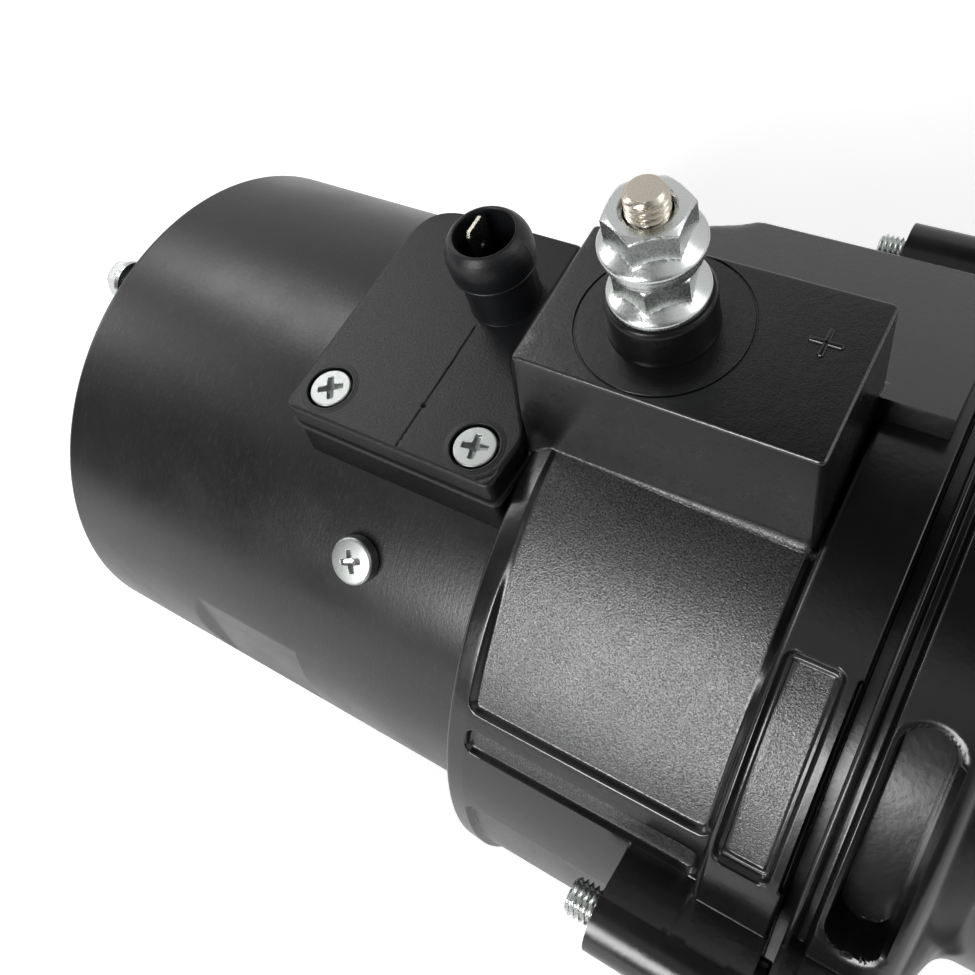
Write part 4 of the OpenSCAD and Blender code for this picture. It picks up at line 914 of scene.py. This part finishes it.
def makeBolts():
    # each bolt is moved out to its circle and turned to its angle
    for name, (angles, circle, bolt) in boltSets.items():
        shells = [moved(part, lambda p: rolled(p, a, (0, 0, circle))) for a in angles for part in hexBolt(**bolt)]
        piece(name + "BoltSet", shells, "zinc_steel", [name + "_bolts"], 40)


def coilSpring(x0, x1, radius, wire, turns):
    # a circle of the wire's size carried along a helix, its pitch closing up over the first and last turn
    t = np.linspace(0, 1, int(turns * 28) + 1)
    share = 1 / turns
    flatten = np.interp(t, [0, share, 1 - share, 1], [0, 0.06, 0.94, 1])
    x = x0 + wire + (x1 - x0 - 2 * wire) * flatten
    a = t * turns * 360
    b = np.radians(np.arange(12) * 30.0)
    return shell(around(x[:, None] + wire * np.sin(b), radius + wire * np.cos(b)[None, :], a[:, None]))


# each spring's ends, radius, wire radius and turns; a joint's travel; where it stands over the shaft
springs = Settings(
    clutchCoil=(93.1, 113.95, 14.25, 0.95, 3), clutchTravel=14, contactCoil=(30.1, 38.4, 2.9, 0.28, 6),
    contactTravel=3, contactHeight=92.3, brushCoil=(0, 12, 3.9, 0.5, 5), brushAngles=(45, 135, 225, 315),
    brushPlace=(-117, 0, 39.2))


def makeSprings():
    # the two springs that a joint works on each get a mesh of their own
    k = springs
    coil = piece("returnSpringCoil", [coilSpring(*k.clutchCoil)], "spring_steel", ["return_spring"], body="output")
    rod = moved(coilSpring(*k.contactCoil), lambda p: p + [0, 0, k.contactHeight])
    rod = piece("contactSpringCoil", [rod], "spring_steel", ["contact_spring"])
    for thing, joint, (rear, front, *_), travel in ((coil, "clutch_slide", k.clutchCoil, k.clutchTravel),
                                                    (rod, "contact_slide", k.contactCoil, k.contactTravel)):
        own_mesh(thing)
    standing = moved(coilSpring(*k.brushCoil), lambda p: p[:, ::-1])
    shells = [moved(standing, lambda p: rolled(p, a, k.brushPlace)) for a in k.brushAngles]
    piece("brushSpringCoils", shells, "spring_steel", ["brush_springs"])


makeYoke()
makeCastHousing()
makeDriveHousing()
print("castings made")
makeCover()
makeGasketAndBase()
makeBatteryTerminal()
makeScrews()
makeBolts()
makeSprings()
print("terminals, screws and springs made")


stage = Settings(
    floorColour="#f4f4f4", floorHalf=9, floorLift=0.15, seenLift=0.4, ambient=0.32, room=0.74,
    nearSide=0.12, nearEdge=(-0.62, -0.24), darkLevel=0.04, darkSide=(0.05, 0.2, 0.9785),
    darkEdge=(0.84, 0.95), cameraPlace=(81.06, -91.0, 255.22), lens=35.745, shift=(-0.01692, -0.03026),
    right=(0.842278, 0.490326, -0.22394), up=(-0.334958, 0.801578, 0.495254))
# softboxes: direction they stand in, by turn from +X and height, in degrees; half-sizes in degrees; how far the top
# leans to the right, in degrees; radiance
softboxes = {"frontSoftbox": (-101, 28, 9, 15, 27, 17.0), "rearSoftbox": (154, 46, 11, 9, 0, 6.0),
             "sideSoftbox": (-173, 27, 8, 8, 0, 5.5), "driveEndSoftbox": (20, 30, 15, 20, 0, 2.0)}


def makeStage():
    # a pale floor at the part's lowest point and a room that is white where it is looked at directly. Reflections
    # see a pale room, dimmer on the near side, with one dark round opening; both fade over the cosine of an angle
    k = stage
    low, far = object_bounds()[0].z, k.floorHalf
    mesh = bpy.data.meshes.new("floor")
    mesh.from_pydata([(-far, -far, low), (far, -far, low), (far, far, low), (-far, far, low)], [], [(0, 1, 2, 3)])
    floor = addObject("floor", mesh)
    material, tree, shader, _ = startFinish("paleFloor", {
        "Base Color": colour(k.floorColour), "Roughness": 0.9, "Specular IOR Level": 0.1,
        "Emission Color": (1, 1, 1, 1)})
    path = addNode(tree, "LightPath", {}).outputs
    mirrored = addNode(tree, "Math", {"operation": "MULTIPLY", 1: k.floorLift}, {0: path["Is Glossy Ray"]})
    lift = addNode(tree, "Math", {"operation": "MULTIPLY_ADD", 1: k.seenLift},
                   {0: path["Is Camera Ray"], 2: mirrored.outputs[0]})
    join(tree, shader, {"Emission Strength": lift.outputs[0]})
    mesh.materials.append(material)
    world = bpy.data.worlds.new("softRoom")
    bpy.context.scene.world = world
    world.use_nodes = True
    tree = world.node_tree
    path = addNode(tree, "LightPath", {}).outputs
    way = addNode(tree, "TexCoord", {}).outputs["Generated"]
    side = addNode(tree, "SeparateXYZ", {}, {0: way}).outputs["Y"]
    cosine = addNode(tree, "VectorMath", {"operation": "DOT_PRODUCT", 1: k.darkSide}, {0: way}).outputs["Value"]
    smooth = {"interpolation_type": "SMOOTHSTEP"}
    sides = addNode(tree, "MapRange", {**smooth, "From Min": k.nearEdge[0], "From Max": k.nearEdge[1],
                                       "To Min": k.nearSide, "To Max": k.room}, {"Value": side})
    room = addNode(tree, "MapRange", {**smooth, "From Min": k.darkEdge[0], "From Max": k.darkEdge[1],
                                      "To Max": k.darkLevel}, {"Value": cosine, "To Min": sides.outputs[0]})
    glossy = addNode(tree, "Mix", {2: k.ambient}, {0: path["Is Glossy Ray"], 3: room.outputs[0]})
    seen = addNode(tree, "Math", {"operation": "MAXIMUM"}, {0: path["Is Camera Ray"], 1: path["Is Transmission Ray"]})
    level = addNode(tree, "Mix", {3: 1.0}, {0: seen.outputs[0], 2: glossy.outputs[0]})
    light = tree.nodes["Background"]
    light.inputs["Color"].default_value = (1, 1, 1, 1)
    join(tree, light, {"Strength": level.outputs[0]})


def frameOf(right, up, back, at):
    # a placement whose columns are the three axes and the place
    return Matrix(np.column_stack([right, up, back, at]).tolist() + [[0, 0, 0, 1]])


def makeSoftboxes(distance=2.2):
    # a rectangle that spans the given angles; power is radiance times pi times its area
    for name, (azimuth, height, halfWide, halfHigh, lean, radiance) in softboxes.items():
        a, h, lean = (math.radians(v) for v in (azimuth, height, lean))
        back = np.array([math.cos(h) * math.cos(a), math.cos(h) * math.sin(a), math.sin(h)])
        level = np.array([-math.sin(a), math.cos(a), 0])
        right = level * math.cos(lean) - np.cross(back, level) * math.sin(lean)
        lamp = bpy.data.lights.new(name, "AREA")
        lamp.shape = "RECTANGLE"
        lamp.size = 2 * distance * math.tan(math.radians(halfWide)) * math.cos(h)
        lamp.size_y = 2 * distance * math.tan(math.radians(halfHigh))
        lamp.energy = radiance * math.pi * lamp.size * lamp.size_y
        at = np.array([rearFace * mm, 0, 0.05]) + back * distance
        addObject(name, lamp).matrix_world = frameOf(right, np.cross(back, right), back, at)


def makeCamera():
    # looks against the cross product of its right and up directions
    k = stage
    camera = bpy.data.cameras.new("camera")
    camera.lens, camera.sensor_width = k.lens, 36
    camera.shift_x, camera.shift_y = k.shift
    camera.clip_start = 0.005
    thing = addObject("camera", camera)
    at = (np.array(k.cameraPlace) + [rearFace, 0, 0]) * mm
    thing.matrix_world = frameOf(k.right, k.up, np.cross(k.right, k.up), at)
    bpy.context.scene.camera = thing


makeStage()
makeSoftboxes()
makeCamera()
bpy.context.scene.view_settings.view_transform = "Standard"
print("stage made")
